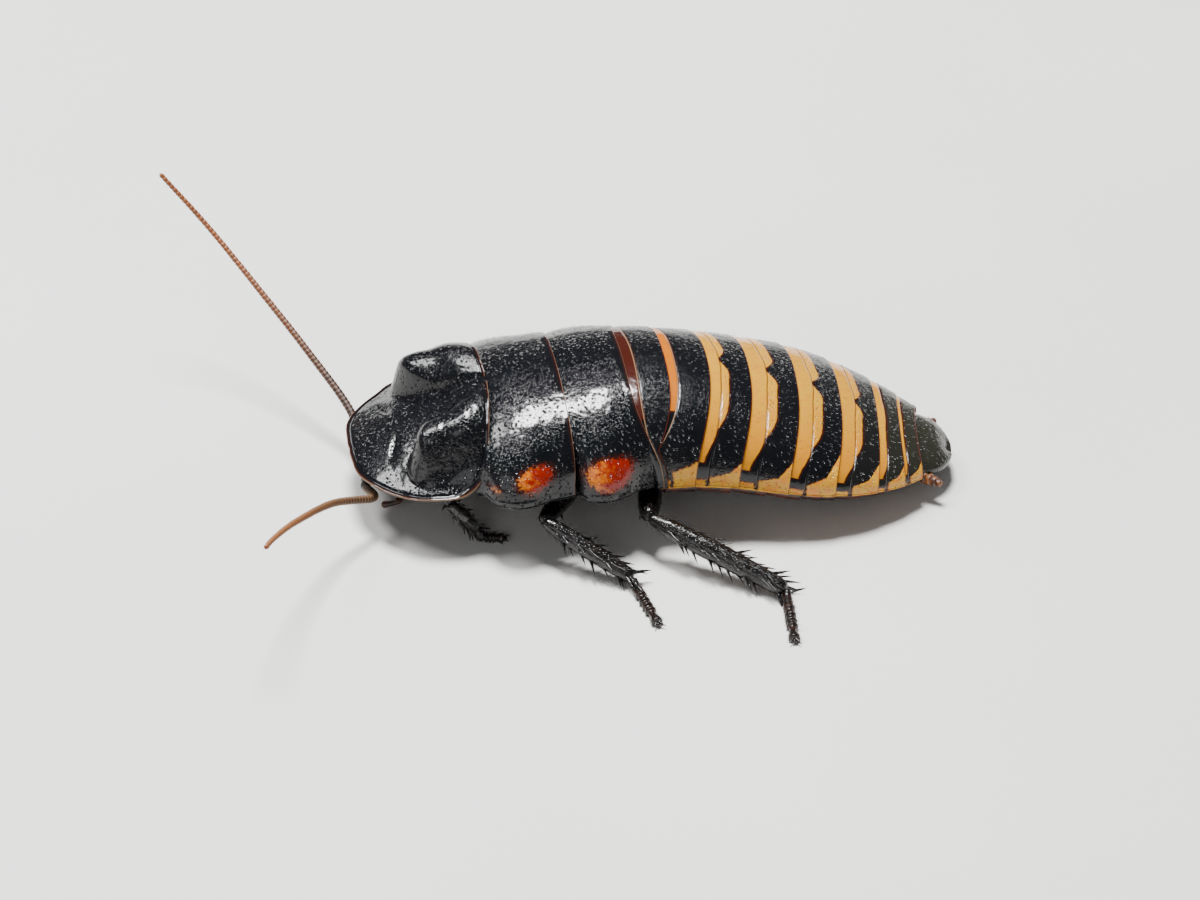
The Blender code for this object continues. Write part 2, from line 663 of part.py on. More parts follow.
def build_head():
    """The head capsule, built as rings from the vertex down to the mouth."""
    vertex, mouth = Vector(HEAD_VERTEX), Vector(HEAD_MOUTH)
    down = (mouth - vertex).normalized()
    across = Vector((0, 1, 0))
    face = across.cross(down).normalized()
    if face.x > 0:
        face = -face
    rings = []
    for share, wide, thick in HEAD_SECTIONS:
        centre = vertex.lerp(mouth, share)
        ring = []
        for k in range(HEAD_SIDES):
            angle = 2 * math.pi * k / HEAD_SIDES
            x, y = math.cos(angle), math.sin(angle)
            round_off = (abs(x) ** HEAD_SQUARENESS + abs(y) ** HEAD_SQUARENESS) ** (-1 / HEAD_SQUARENESS)
            ring.append(centre + across * wide * x * round_off + face * thick * y * round_off)
        rings.append(ring)
    head = make_node("head", bridge(rings), BLACK)

    def spot(share, y, forward):
        return vertex.lerp(mouth, share) + across * y + face * forward

    def jointed(ends, wide, tip):
        stations = [(0.0, 0.28)]
        for start, end in zip(ends, ends[1:]):
            stations += [(start + 0.03, 0.75 * wide), (end - 0.06, wide), (end - 0.01, 0.75 * wide)]
        return stations + [(1.0, tip)]

    parts = []
    for side, sign in (("left", -1), ("right", 1)):
        parts.append(tube(f"eye_{side}", EYE, (spot(0.1, sign * 2.4, -0.1), spot(0.58, sign * 2.8, 0.2)),
                          ((0.0, 0.3), (0.06, 0.6), (0.18, 0.88), (0.4, 1.06), (0.62, 1.0), (0.8, 0.82),
                           (0.93, 0.55), (1.0, 0.25)), sides=12, roughness=0.15))
        bite = (spot(0.84, sign * 1.5, -0.1), spot(1.0, sign * 1.35, 0.0), spot(1.14, sign * 0.55, 0.1))
        parts.append(tube(f"mandible_{side}", DARK_RED, bite,
                          ((0.0, 0.5), (0.3, 0.6), (0.6, 0.52), (0.85, 0.36), (1.0, 0.15)), sides=8))
        reach = ((5.6, sign * 1.9, 2.9), (5.9, sign * 3.1, 2.2), (4.9, sign * 3.8, 1.7),
                 (3.4, sign * 3.4, 1.1))
        parts.append(tube(f"palp_{side}", AMBER, reach, jointed(PALP_ENDS, 0.36, 0.2), sides=7))
    parts.append(tube("labrum", DARK_RED, (spot(0.86, 0.0, 1.15), spot(1.16, 0.0, 0.85)),
                      ((0.0, 0.9), (0.3, 1.05), (0.7, 1.0), (1.0, 0.6)), sides=10, deep=0.35))
    labium = tube("labium", DARK_RED, (spot(0.72, 0.0, -2.1), spot(1.1, 0.0, -1.5)),
                  ((0.0, 0.7), (0.2, 1.1), (0.6, 1.2), (0.9, 0.9), (1.0, 0.5)), sides=10, deep=0.4)
    lower_palps = []
    for sign in (-1, 1):
        root = spot(0.92, sign * 0.7, -1.7)
        lower_palps.append(spine(root, Vector((0.5, sign, -0.45)), 2.2, 0.3))
    join(labium, lower_palps)
    parts.append(labium)
    return head, parts


def build_antenna(side, way):
    """A feeler: a stout scape, a pedicel, and a flagellum of rings that taper to the tip."""
    radius, tip = ANTENNA_RADIUS
    stations = [(0.0, 0.4), (0.006, 0.62), (0.04, 0.66), (0.046, 0.42), (0.05, 0.5), (0.066, 0.52),
                (0.07, 0.4)]
    for k in range(ANTENNA_RINGS):
        start = 0.074 + 0.922 * k / ANTENNA_RINGS
        step = 0.922 / ANTENNA_RINGS
        wide = radius + (tip - radius) * k / (ANTENNA_RINGS - 1)
        stations += [(start + 0.15 * step, wide * RING_WAIST), (start + 0.75 * step, wide)]
    return tube(f"antenna_{side}", AMBER, way, stations + [(1.0, 0.15)], sides=6)


def stand_on_origin():
    """Turns millimetres into metres and puts the origin under the middle of the animal's box."""
    nodes = list(bpy.context.scene.objects)
    corners = [node.matrix_world @ vert.co for node in nodes for vert in node.data.vertices]
    lows = [min(c[i] for c in corners) for i in range(3)]
    highs = [max(c[i] for c in corners) for i in range(3)]
    shift = Vector((-(lows[0] + highs[0]) / 2, -(lows[1] + highs[1]) / 2, -lows[2]))
    for node in nodes:
        node.data.transform(Matrix.Scale(METRES, 4) @ Matrix.Translation(shift))


def main():
    remove_everything()
    pronotum = build_pronotum()
    metanotum = build_thorax_plates(pronotum)[-1]
    build_tail(build_tergites(metanotum))
    sternites = build_belly()
    sterna = build_thorax_base()
    undersides = sterna + sternites[:1]
    head, face_parts = build_head()
    antennae = [build_antenna("left", ANTENNA_LEFT), build_antenna("right", ANTENNA_RIGHT)]
    carve(pronotum, head)
    carve(sterna[0], pronotum, head)
    carve(head, *face_parts, *antennae)
    chance = random.Random(SEED)
    for pair, side in LEGS:
        coxa = build_leg(pair, side, chance)
        for underside in undersides:
            carve(underside, coxa)
    stand_on_origin()


main()
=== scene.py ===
"""The looks of an adult male Madagascar hissing cockroach, made as a still, life-size museum model.

Lengths are in millimetres in the body's own frame, as in the solids: s runs from the front of the pronotum
to the tail, y runs across with the left at negative y, and z is up from the floor. In a plate, around runs
from -1 at the left margin over the back to 1 at the right margin, and behind is the distance from the edge
of the plate before it.
"""

import math
import random

import bmesh
import bpy
import numpy as np
from mathutils import Matrix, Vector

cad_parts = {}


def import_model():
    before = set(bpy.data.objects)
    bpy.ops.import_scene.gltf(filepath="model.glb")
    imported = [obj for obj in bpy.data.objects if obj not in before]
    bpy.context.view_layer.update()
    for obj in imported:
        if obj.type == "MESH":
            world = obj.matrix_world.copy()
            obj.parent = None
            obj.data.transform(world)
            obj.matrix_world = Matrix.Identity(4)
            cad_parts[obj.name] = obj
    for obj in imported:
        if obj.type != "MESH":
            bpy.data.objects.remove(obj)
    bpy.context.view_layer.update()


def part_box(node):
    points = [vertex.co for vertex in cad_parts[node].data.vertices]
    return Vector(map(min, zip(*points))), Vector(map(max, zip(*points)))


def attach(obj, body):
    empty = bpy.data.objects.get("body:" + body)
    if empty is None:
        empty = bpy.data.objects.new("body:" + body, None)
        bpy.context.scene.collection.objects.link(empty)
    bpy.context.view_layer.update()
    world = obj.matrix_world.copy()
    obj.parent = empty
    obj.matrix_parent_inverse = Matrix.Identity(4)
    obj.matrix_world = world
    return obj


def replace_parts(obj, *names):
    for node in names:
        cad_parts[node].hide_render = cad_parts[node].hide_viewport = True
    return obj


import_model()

MM = 0.001
PRONOTUM_FRONT = 0.3
low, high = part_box("pronotum")
SHIFT = np.array([low.x / MM - PRONOTUM_FRONT, (low.y + high.y) / 2 / MM, 0.0])

# The body's curve and the profiles along it
BEND_START, BEND_RADIUS = 30.0, 190.0
GAP, LAP, RIM = 0.3, 1.0, 0.35
LIP_EDGE, LIP_ROOT, TUCK = 0.13, 0.2, 0.3
SWING_POWER, DOME_POWER, BELLY_POWER = 2.5, 0.95, 0.8


class Profile:
    """A smooth curve through (place, value) stations that never overshoots them."""

    def __init__(self, *stations):
        self.at, self.value = np.array(stations, float).T
        steps = np.diff(self.value) / np.diff(self.at)
        before, after = steps[:-1], steps[1:]
        same = before * after > 0
        inner = np.where(same, 2 * before * after / np.where(same, before + after, 1.0), 0.0)
        self.slope = np.concatenate([steps[:1], inner, steps[-1:]])

    def __call__(self, at):
        at = np.clip(at, self.at[0], self.at[-1])
        i = np.clip(np.searchsorted(self.at, at) - 1, 0, len(self.at) - 2)
        width = self.at[i + 1] - self.at[i]
        t = (at - self.at[i]) / width
        return ((1 + 2 * t) * (1 - t) ** 2 * self.value[i] + t * (1 - t) ** 2 * width * self.slope[i]
                + t * t * (3 - 2 * t) * self.value[i + 1] + t * t * (t - 1) * width * self.slope[i + 1])


half_width = Profile((13.0, 12.6), (17.0, 13.2), (25.0, 13.2), (30.0, 12.4), (36.0, 11.9), (42.0, 12.1),
                     (48.0, 12.4), (53.0, 11.7), (57.0, 10.2), (60.0, 8.4), (62.5, 6.3), (66.0, 3.0))
dome_height = Profile((14.0, 7.5), (17.5, 8.4), (22.4, 9.0), (29.5, 9.8), (34.0, 9.5), (38.8, 8.8),
                      (43.5, 7.95), (48.7, 7.0), (53.6, 5.4), (57.8, 4.0), (60.3, 3.3), (62.2, 2.85))
margin_level = Profile((10.0, 6.9), (32.0, 6.9), (38.8, 6.6), (43.5, 6.1), (48.5, 5.4), (53.5, 4.7),
                       (57.8, 4.0), (62.0, 3.3), (66.0, 2.8))
belly_depth = Profile((30.0, 2.8), (40.0, 3.3), (50.0, 3.0), (57.0, 2.3), (62.0, 1.7), (66.0, 1.2))
BELLY_INSET = 1.3

# The hind edge of each plate on the midline, how far its corners swing back (+) or forward (-), and how late
PRONOTUM_HIND, MESONOTUM_HIND, METANOTUM_HIND = (14.8, -1.7), (22.4, 0.3), (29.4, 3.0, 4.5)
TERGITE_HINDS = ((34.0, -3.4, 4.5), (38.8, -2.7), (43.4, -2.3), (48.7, -1.9), (53.6, -1.3), (57.8, -0.4),
                 (60.3, 0.4), (62.2, 0.6))
LEAST_STRIP, LOBE_OUT, LOBE_POWER, FRONT_CORNER, HIND_CORNER = 0.45, 0.9, 5, 1.6, 0.9
STERNITES_FRONT = 32.9
STERNITE_HINDS = (36.4, 40.4, 44.4, 48.4, 52.2, 55.5, 58.3)
TAIL_TIP, SUBGENITAL_TIP = 65.8, 64.4


def in_body(s, y, z):
    """Points once the body's long curve is followed, stacked in the last axis."""
    s, y, z = np.broadcast_arrays(np.asarray(s, float), y, z)
    turn = np.maximum(s - BEND_START, 0.0) / BEND_RADIUS
    along = np.minimum(s, BEND_START) + BEND_RADIUS * np.sin(turn)
    aside = -BEND_RADIUS * (1 - np.cos(turn))
    return np.stack([along + y * np.sin(turn), aside + y * np.cos(turn), z], -1)


def smooth(low_end, high_end, value):
    """0 below low_end, 1 above high_end and smooth between."""
    t = np.clip((value - low_end) / (high_end - low_end), 0.0, 1.0)
    return t * t * (3 - 2 * t)


# Finishes: shader maths as expressions

def tone(red, green, blue):
    """A screen colour, 0 to 255, as the linear colour that a shader takes."""
    return tuple(c / 12.92 if c <= 0.04045 else ((c + 0.055) / 1.055) ** 2.4
                 for c in (red / 255, green / 255, blue / 255)) + (1.0,)


def feed(tree, socket, value):
    """Links a wire to a socket, or sets the socket to a plain value."""
    if isinstance(value, Wire):
        tree.links.new(value.socket, socket)
    else:
        socket.default_value = value


class Wire:
    """A node's output on which arithmetic adds nodes."""

    def __init__(self, finish, socket):
        self.finish, self.socket = finish, socket

    def maths(self, operation, *values):
        return self.finish.node("ShaderNodeMath", {"operation": operation}, *values)

    def __add__(self, other):
        return self.maths("ADD", self, other)

    def __sub__(self, other):
        return self.maths("SUBTRACT", self, other)

    def __rsub__(self, other):
        return self.maths("SUBTRACT", other, self)

    def __mul__(self, other):
        return self.maths("MULTIPLY", self, other)

    def __neg__(self):
        return self.maths("MULTIPLY", self, -1.0)

    def __abs__(self):
        return self.maths("ABSOLUTE", self)

    __radd__, __rmul__ = __add__, __mul__

    def over(self, other):
        """The larger of the two."""
        return self.maths("MAXIMUM", self, other)

    def rise(self, low_end, high_end):
        """0 below low_end, 1 above high_end and smooth between; the ends may be given the other way round."""
        return self.finish.node("ShaderNodeMapRange", {"interpolation_type": "SMOOTHSTEP"},
                                Value=self, **{"From Min": low_end, "From Max": high_end})


class Finish:
    """One material, built from nodes."""

    def __init__(self, name):
        self.material = bpy.data.materials.new(name)
        self.material.use_nodes = True
        self.tree = self.material.node_tree
        self.surface = self.tree.nodes["Principled BSDF"]
        self.place = self.node("ShaderNodeVectorMath", {"operation": "SCALE"},
                               self.node("ShaderNodeTexCoord", out="Object"), Scale=1 / MM)

    def node(self, kind, settings=None, *values, out=0, **sockets):
        """A node with its settings and its inputs by number or by name, as a Wire from its output."""
        made = self.tree.nodes.new(kind)
        for key, value in (settings or {}).items():
            setattr(made, key, value)
        for key, value in [*enumerate(values), *sockets.items()]:
            feed(self.tree, made.inputs[key], value)
        return Wire(self, made.outputs[out])

    def mark(self, name):
        """A number that each point of the mesh carries, such as behind or share."""
        return self.node("ShaderNodeAttribute", {"attribute_name": name}, out="Fac")

    def noise(self, scale, detail):
        return self.node("ShaderNodeTexNoise", None, Vector=self.place, Scale=scale, Detail=detail)

    def cells(self, scale, spread=1.0):
        """Distance to the nearest of many scattered points, about 0 to 0.7 of their spacing."""
        return self.node("ShaderNodeTexVoronoi", None, Vector=self.place, Scale=scale, Randomness=spread,
                         out="Distance")

    def mix(self, share, first, second):
        """A colour between two; the mixing node's colour sockets are its inputs 6 and 7 and its output 2."""
        made = self.tree.nodes.new("ShaderNodeMix")
        made.data_type = "RGBA"
        for key, value in ((0, share), (6, first), (7, second)):
            feed(self.tree, made.inputs[key], value)
        return Wire(self, made.outputs[2])

    def bump(self, *layers):
        """Layers of (height, depth in millimetres), each laid on the one before."""
        normal = None
        for height, depth in layers:
            values = {"Height": height, "Distance": depth * MM}
            if normal:
                values["Normal"] = normal
            normal = self.node("ShaderNodeBump", None, **values)
        self.tree.links.new(normal.socket, self.surface.inputs["Normal"])

    def wear(self, **sockets):
        """Sets or links sockets of the surface, named with _ for a space."""
        for key, value in sockets.items():
            feed(self.tree, self.surface.inputs[key.replace("_", " ")], value)


# Pieces

def net(rows, columns, wrap=True):
    """The faces of a grid of points, row by row; wrap joins the last column to the first."""
    r, c = np.meshgrid(np.arange(rows - 1), np.arange(columns if wrap else columns - 1), indexing="ij")
    n = (c + 1) % columns
    return np.stack([r * columns + c, r * columns + n, (r + 1) * columns + n, (r + 1) * columns + c],
                    -1).reshape(-1, 4).tolist()


def capped(rows, columns):
    """A tube's faces, closed by one flat face at each end."""
    last = (rows - 1) * columns
    return net(rows, columns) + [list(range(columns))[::-1], [last + c for c in range(columns)]]


class Form:
    """Surfaces gathered with their marks before they become one piece."""

    def __init__(self):
        self.points, self.faces, self.marks, self.count = [], [], {}, 0

    def add(self, points, faces, **marks):
        shape = np.shape(points)[:-1]
        if not self.points:
            self.skin = np.asarray(points)
            self.lie = {key: np.broadcast_to(value, shape) for key, value in marks.items()}
        self.points.append(np.reshape(points, (-1, 3)))
        self.faces += [[self.count + corner for corner in face] for face in faces]
        for key in {*self.marks, *marks}:
            told = self.marks.setdefault(key, [np.zeros(self.count)])
            told.append(np.broadcast_to(marks.get(key, 0.0), shape).ravel())
        self.count += len(self.points[-1])
        return self

    def tube(self, points, **marks):
        """Rings of points, joined and closed at both ends."""
        return self.add(points, capped(*np.shape(points)[:2]), **marks)


SKINS = {}


def in_scene(name, data):
    """An object for a mesh, a light or a camera, put into the scene."""
    thing = bpy.data.objects.new(name, data)
    bpy.context.scene.collection.objects.link(thing)
    return thing


def piece(name, form, finish, slot):
    """One smooth piece of the model, its faces turned outwards."""
    mesh = bpy.data.meshes.new(name)
    mesh.from_pydata(((np.concatenate(form.points) + SHIFT) * MM).tolist(), [], form.faces)
    for mark, values in form.marks.items():
        values = np.concatenate(values).astype(np.float32)
        mesh.attributes.new(mark, "FLOAT", "POINT").data.foreach_set("value", values)
    turned = bmesh.new()
    turned.from_mesh(mesh)
    bmesh.ops.recalc_face_normals(turned, faces=turned.faces)
    turned.to_mesh(mesh)
    turned.free()
    mesh.shade_smooth()
    mesh.materials.append(finish.material)
    thing = in_scene(name, mesh)
    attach(thing, "root")
    return thing


def shell(node, form, finish, slot):
    """The piece that stands for one node of the solids, and on which hairs can grow."""
    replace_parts(piece(node + "_shell", form, finish, slot), node)
    SKINS[node] = form


def hind_edge(hind):
    """A plate's hind edge as a function of u, the share of the half width."""
    middle, swing, power = (*hind, SWING_POWER)[:3]
    return lambda u: middle + swing * np.abs(u) ** power


AROUND = np.linspace(-1, 1, 181)


def shell_plate(name, finish, slot, front, hind, width, height, level, up=1, tucked=True,
                power=DOME_POWER, marks=lambda around, behind, before: {}, flange=0.0, lobe=lambda s: 0.0):
    """One body plate with rounded margins: it rises from under the plate before it to a thin lip behind."""
    around = np.concatenate([[-1, -1], AROUND, [1, 1]])
    swell = np.concatenate([[0.09, 0.06], np.zeros(len(AROUND)), [0.06, 0.09]])
    squeeze = np.concatenate([[0.35, 0.8], np.ones(len(AROUND)), [0.8, 0.35]])
    u = -np.cos(math.pi * (around + 1) / 2)
    rise = np.abs(np.sin(math.pi * (around + 1) / 2)) ** power
    start, end = front(u) - (LAP - GAP if tucked else 0.0), hind(u)
    length = end - start
    shares = np.concatenate([[0, 0.05], np.linspace(0.09, 0.985, 52)])
    tuck = TUCK if tucked else 0.0
    drop = np.interp(shares, (0, 0.25, 0.55, 1), (1, 0.55, 0.2, 0)) * tuck
    places = [start + share * length for share in shares]
    offsets = [np.full_like(u, -d) for d in drop]
    for back, under in ((0.035, 0.0), (0.01, 0.02), (0.0, 0.05), (0.01, 0.09), (0.05, LIP_EDGE),
                        (LAP, LIP_ROOT)):
        places.append(end - back)
        offsets.append(np.full_like(u, -under))
    top = len(places)
    places += [end - LAP, start]
    offsets += [np.full_like(u, -LIP_ROOT), np.full_like(u, -tuck)]
    s, offset = np.array(places).T, np.array(offsets).T
    tall = RIM + (height(s) + offset - RIM) * rise[:, None]
    tall[:, top:] = 0.0
    tall = RIM / 2 + (tall - RIM / 2) * squeeze[:, None]
    side = (width(s) + offset + swell[:, None] + lobe(s) * np.abs(u[:, None]) ** LOBE_POWER) * u[:, None]
    aside = np.abs(around)[:, None]
    rim, trough = np.exp(-((aside - 0.972) / 0.016) ** 2), np.exp(-((aside - 0.915) / 0.035) ** 2)
    tall = tall + flange * (0.3 * rim - trough) * (np.arange(s.shape[1]) < top)
    points = in_body(s, side, level(s) + up * tall)
    behind, before = s - front(u)[:, None], hind(u)[:, None] - s
    lie = {"behind": behind, "before": before, "around": np.broadcast_to(around[:, None], s.shape)}
    lie.update(marks(lie["around"], behind, before))
    shell(name, Form().tube(points, **lie), finish, slot)


# Marks that the finishes of the back read

ARC = 17.0  # millimetres over the back for each 1 of around
NO_PATCH = -9.0
# For each tergite: its crease behind the plate before, the pale strip behind that, where the band ends aside,
# and its tint
BANDS = {1: (1.15, 0.0, 0.5, 1.0), 2: (1.0, 0.0, 0.46, 0.6), 3: (1.35, 0.9, 0.82, 0.0),
         4: (1.95, 1.15, 0.85, 0.0), 5: (1.8, 1.1, 0.85, 0.0), 6: (1.7, 0.85, 0.85, 0.1),
         7: (0.95, 0.0, 0.8, 0.1), 8: (0.4, 0.0, 0.8, 0.0)}
# How far aside the pale side patch starts, at these shares of the plate's length
PATCH_SHARES = (0.3, 0.75, 1.0)
PATCH_STARTS = {2: (0.88, 0.84, 0.8), 3: (0.93, 0.88, 0.78), 4: (0.93, 0.87, 0.7), 5: (0.91, 0.8, 0.54),
                6: (0.9, 0.8, 0.58), 7: (0.88, 0.78, 0.6), 8: (0.85, 0.75, 0.6)}


def tergite_marks(number):
    crease_at, strip, band_end, tint = BANDS[number]

    def marks(around, behind, before):
        aside = np.abs(around)
        if number < 3:
            closes = (0.62, 2.2) if number == 1 else (0.72, 2.5)
            crease = crease_at * np.maximum(1 - (aside / closes[0]) ** closes[1], 0.0)
        else:
            crease = crease_at * (1 - 0.12 * smooth(0.05, 0.2, aside) + 0.12 * smooth(0.3, 0.6, aside))
        lobe = smooth(0.012, 0.13, aside) ** 0.6 * (1 - smooth(0.38, 0.57, aside)) ** 0.5
        back = (crease + strip * lobe) * (1 - 0.5 * smooth(0.58, band_end, aside) * (number > 2))
        band = np.minimum(back - behind, (band_end - aside) * ARC)
        patch = np.full_like(behind, NO_PATCH)
        if number in PATCH_STARTS:
            share = np.clip(behind / np.maximum(behind + before, 0.1), 0, 1)
            starts = np.interp(share, PATCH_SHARES, PATCH_STARTS[number])
            side_crease = crease if number > 2 else 0.5
            rear = np.minimum((aside - starts) * ARC, behind - side_crease - 0.06)
            front = np.minimum((aside - 0.95) * ARC, side_crease - 0.12 - behind)
            patch = np.maximum(rear, front)
        return {"band": band, "patch": patch, "crease": behind - crease, "tint": tint,
                "dull": (number - 5) / 3}

    return marks


def spot_marks(*spots):
    """Marks for a thoracic plate: spots of (behind, around, half length, half width)."""
    def marks(around, behind, before):
        aside = np.abs(around)
        nearest = np.full_like(behind, NO_PATCH)
        for at, beside, long, wide in spots:
            away = np.hypot((behind - at) / long, (aside - beside) / wide)
            nearest = np.maximum(nearest, (1 - away) * min(long, wide * ARC))
        return {"patch": nearest, "patch_lie": (behind - spots[0][0]) / spots[0][2]}

    return marks


def lobes(front, hind):
    """How far a thoracic plate's margin stands out: a cut front corner, a full side, drawn in behind."""
    def lobe(s):
        share = np.clip((s - front) / (hind - front), 0.0, 1.0)
        out = LOBE_OUT * np.sin(math.pi * np.minimum(1.4 * share, 1.0))
        return out - FRONT_CORNER * np.maximum(1 - share / 0.16, 0.0) ** 2 - HIND_CORNER * share ** 3
    return lobe


# Pronotum

PRONOTUM_CENTRE = 7.6
pronotum_radius = Profile((0, 7.2), (20, 7.5), (38, 8.6), (52, 10.3), (59, 11.5), (66, 11.95), (74, 11.8),
                          (84, 11.4), (98, 10.75), (109, 9.9), (127, 9.0), (145, 8.4), (165, 7.55),
                          (180, 7.3))
pronotum_half_width = Profile((0.2, 0.8), (0.6, 4.4), (2.2, 7.3), (4.4, 9.4), (6.1, 10.6), (8.8, 11.4),
                              (11.3, 11.4), (14.8, 11.2))
pronotum_margin = Profile((0.0, 6.05), (2.2, 6.1), (4.4, 6.25), (6.0, 6.6), (8.8, 6.85), (12.0, 7.05),
                          (14.8, 7.1))
pronotum_midline = Profile((0.3, 6.45), (2.5, 7.9), (5.5, 9.6), (8.9, 11.0), (11.0, 12.3), (13.0, 13.5),
                           (14.8, 14.3))
pronotum_power = Profile((0.0, 0.8), (6.0, 1.4), (9.0, 1.4), (12.0, 0.8), (14.8, 0.52))
horn_ridge = Profile((5.6, 0.0), (6.1, 1.9), (6.6, 3.8), (7.2, 4.3), (8.4, 4.4), (10.6, 3.9), (12.6, 2.8),
                     (14.8, 1.3))
HORN_ASIDE, HORN_ROUND = 7.1, 0.2
HORN_INNER, HORN_OUTER, HORN_SHOULDER = 4.2, 1.9, 3.0


def pronotum_height(s, y):
    """How high the top stands over the margin: a dome with a blunt horn each side."""
    inside = np.maximum(1 - (y / pronotum_half_width(s)) ** 2, 0.0)
    middle = pronotum_midline(s) - pronotum_margin(s)
    base = RIM + (middle - RIM) * inside ** pronotum_power(s)
    off = np.abs(y) - HORN_ASIDE
    fall = np.where(off < 0, (off / HORN_INNER) ** 2, (np.maximum(off, 0) / HORN_OUTER) ** HORN_SHOULDER)
    return base + horn_ridge(s - HORN_ROUND * off ** 2) * np.exp(-fall) * np.minimum(inside * 4, 1.0)


def make_pronotum(finish):
    """The shield over the head: a fine skin in rings round its centre, with a raised rim and a tucked lip."""
    angle = np.linspace(0, 2 * math.pi, 360, endpoint=False)
    reach = pronotum_radius(np.degrees(np.minimum(angle, 2 * math.pi - angle)))
    shares = np.concatenate([np.linspace(0.01, 0.94, 84), np.linspace(0.945, 0.99, 14)])
    rim = ((0.06, -0.005), (0.015, -0.03), (0.0, -0.09), (0.015, -0.16), (0.06, -0.22))
    points, edge = [], []
    for share, inset, drop in [(share, 0.0, 0.0) for share in shares] + [(1.0, *step) for step in rim]:
        radius = reach * share - inset
        s, y = PRONOTUM_CENTRE + radius * np.cos(angle), radius * np.sin(angle)
        aside = np.abs(y)
        groove = 0.12 * math.exp(-((share - 0.955) / 0.016) ** 2)
        groove = groove + 0.35 * np.exp(-((s - 10.3) / 0.8) ** 2 - (y / 4.6) ** 2)
        slant = (s - 5.0 + 0.25 * (aside - 2)) / 0.45
        groove = groove + 0.3 * np.exp(-slant ** 2 - ((aside - 3.4) / 1.6) ** 2)
        points.append(np.stack([s, y, pronotum_margin(s) + pronotum_height(s, y) - groove + drop], -1))
        edge.append((1 - share) * reach)
    for inset, level in ((LAP, 0.1), (LAP + GAP, 0.0)):
        radius = reach - inset
        s, y = PRONOTUM_CENTRE + radius * np.cos(angle), radius * np.sin(angle)
        points.append(np.stack([s, y, pronotum_margin(s) + level], -1))
        edge.append(np.full_like(reach, 3.0))
    shell("pronotum", Form().tube(points, before=np.array(edge), patch=NO_PATCH), finish, "black_cuticle")


def make_back(black, banded):
    """The two thoracic plates behind the pronotum and the eight tergites."""
    spots = {"mesonotum": spot_marks((4.95, 0.79, 2.3, 0.11), (0.9, 0.86, 0.55, 0.035)),
             "metanotum": spot_marks((3.6, 0.81, 3.0, 0.125))}
    edges = [hind_edge(hind) for hind in (PRONOTUM_HIND, MESONOTUM_HIND, METANOTUM_HIND)]
    outlines = (lobes(sum(PRONOTUM_HIND), sum(MESONOTUM_HIND)),
                lobes(sum(MESONOTUM_HIND), sum(METANOTUM_HIND[:2])))
    for name, front, hind, lobe in zip(spots, edges, edges[1:], outlines):
        shell_plate(name, black, "black_cuticle", front, hind, half_width, dome_height, margin_level,
                    marks=spots[name], flange=0.3, lobe=lobe)
    last = edges[-1]
    for number, stations in enumerate(TERGITE_HINDS, 1):
        own, front = hind_edge(stations), last

        def hind(u, own=own, front=front):
            return np.maximum(own(u), front(u) + LEAST_STRIP)

        slot = "banded_cuticle" if number > 1 else "black_cuticle"
        shell_plate(f"tergite_{number}", banded, slot, front, hind, half_width, dome_height, margin_level,
                    marks=tergite_marks(number))
        last = hind
    return last


def make_tail_plate(name, finish, slot, front, tip, width, height, level, up, power):
    """A rounded end plate that narrows to its tip."""
    angle = np.linspace(0, math.pi, 97)
    u = -np.cos(angle)
    rise = np.sin(angle).clip(0) ** power
    length = tip - front(0.0)
    points = []
    for share in np.sin(np.linspace(0, math.pi / 2, 40)):
        shrink = math.sqrt(max(1 - share ** 2, 0.0))
        s = front(u) + length * min(share, 0.985)
        tall = RIM + (height - RIM) * rise * (0.35 + 0.65 * shrink)
        over = in_body(s, width * shrink * u, level(s) + up * tall * min(1.0, 0.25 + shrink))
        under = in_body(s, width * shrink * u, level(s))[::-1]
        points.append(np.concatenate([over, under]))
    form = Form().tube(points, before=3.0, patch=NO_PATCH, band=-1.0, crease=1.0, dull=1.0)
    shell(name, form, finish, slot)


def make_belly(finish, last_tergite, back_finish):
    """The lower plates of the abdomen, and the plates above and below the vent."""
    def width(s):
        return half_width(s) - BELLY_INSET

    def level(s):
        return margin_level(s) - GAP

    last = STERNITES_FRONT
    for number, hind in enumerate(STERNITE_HINDS, 1):
        shell_plate(f"sternite_{number}", finish, "belly_cuticle", lambda u, at=last: at + 0.0 * u,
                    lambda u, at=hind: at + 0.0 * u, width, belly_depth, level, up=-1, tucked=number > 1,
                    power=BELLY_POWER)
        last = hind
    make_tail_plate("supra_anal_plate", back_finish, "black_cuticle", lambda u: last_tergite(u) - LAP + GAP,
                    TAIL_TIP, 5.2, 2.1, margin_level, 1, DOME_POWER)
    make_tail_plate("subgenital_plate", finish, "belly_cuticle",
                    lambda u: STERNITE_HINDS[-1] - LAP + GAP + 0.0 * u, SUBGENITAL_TIP, 6.0, 1.6, level, -1,
                    BELLY_POWER)


# Limbs

def unit(vector):
    """Vectors at length 1; the last axis holds their parts."""
    return vector / np.maximum(np.linalg.norm(vector, axis=-1, keepdims=True), 1e-9)


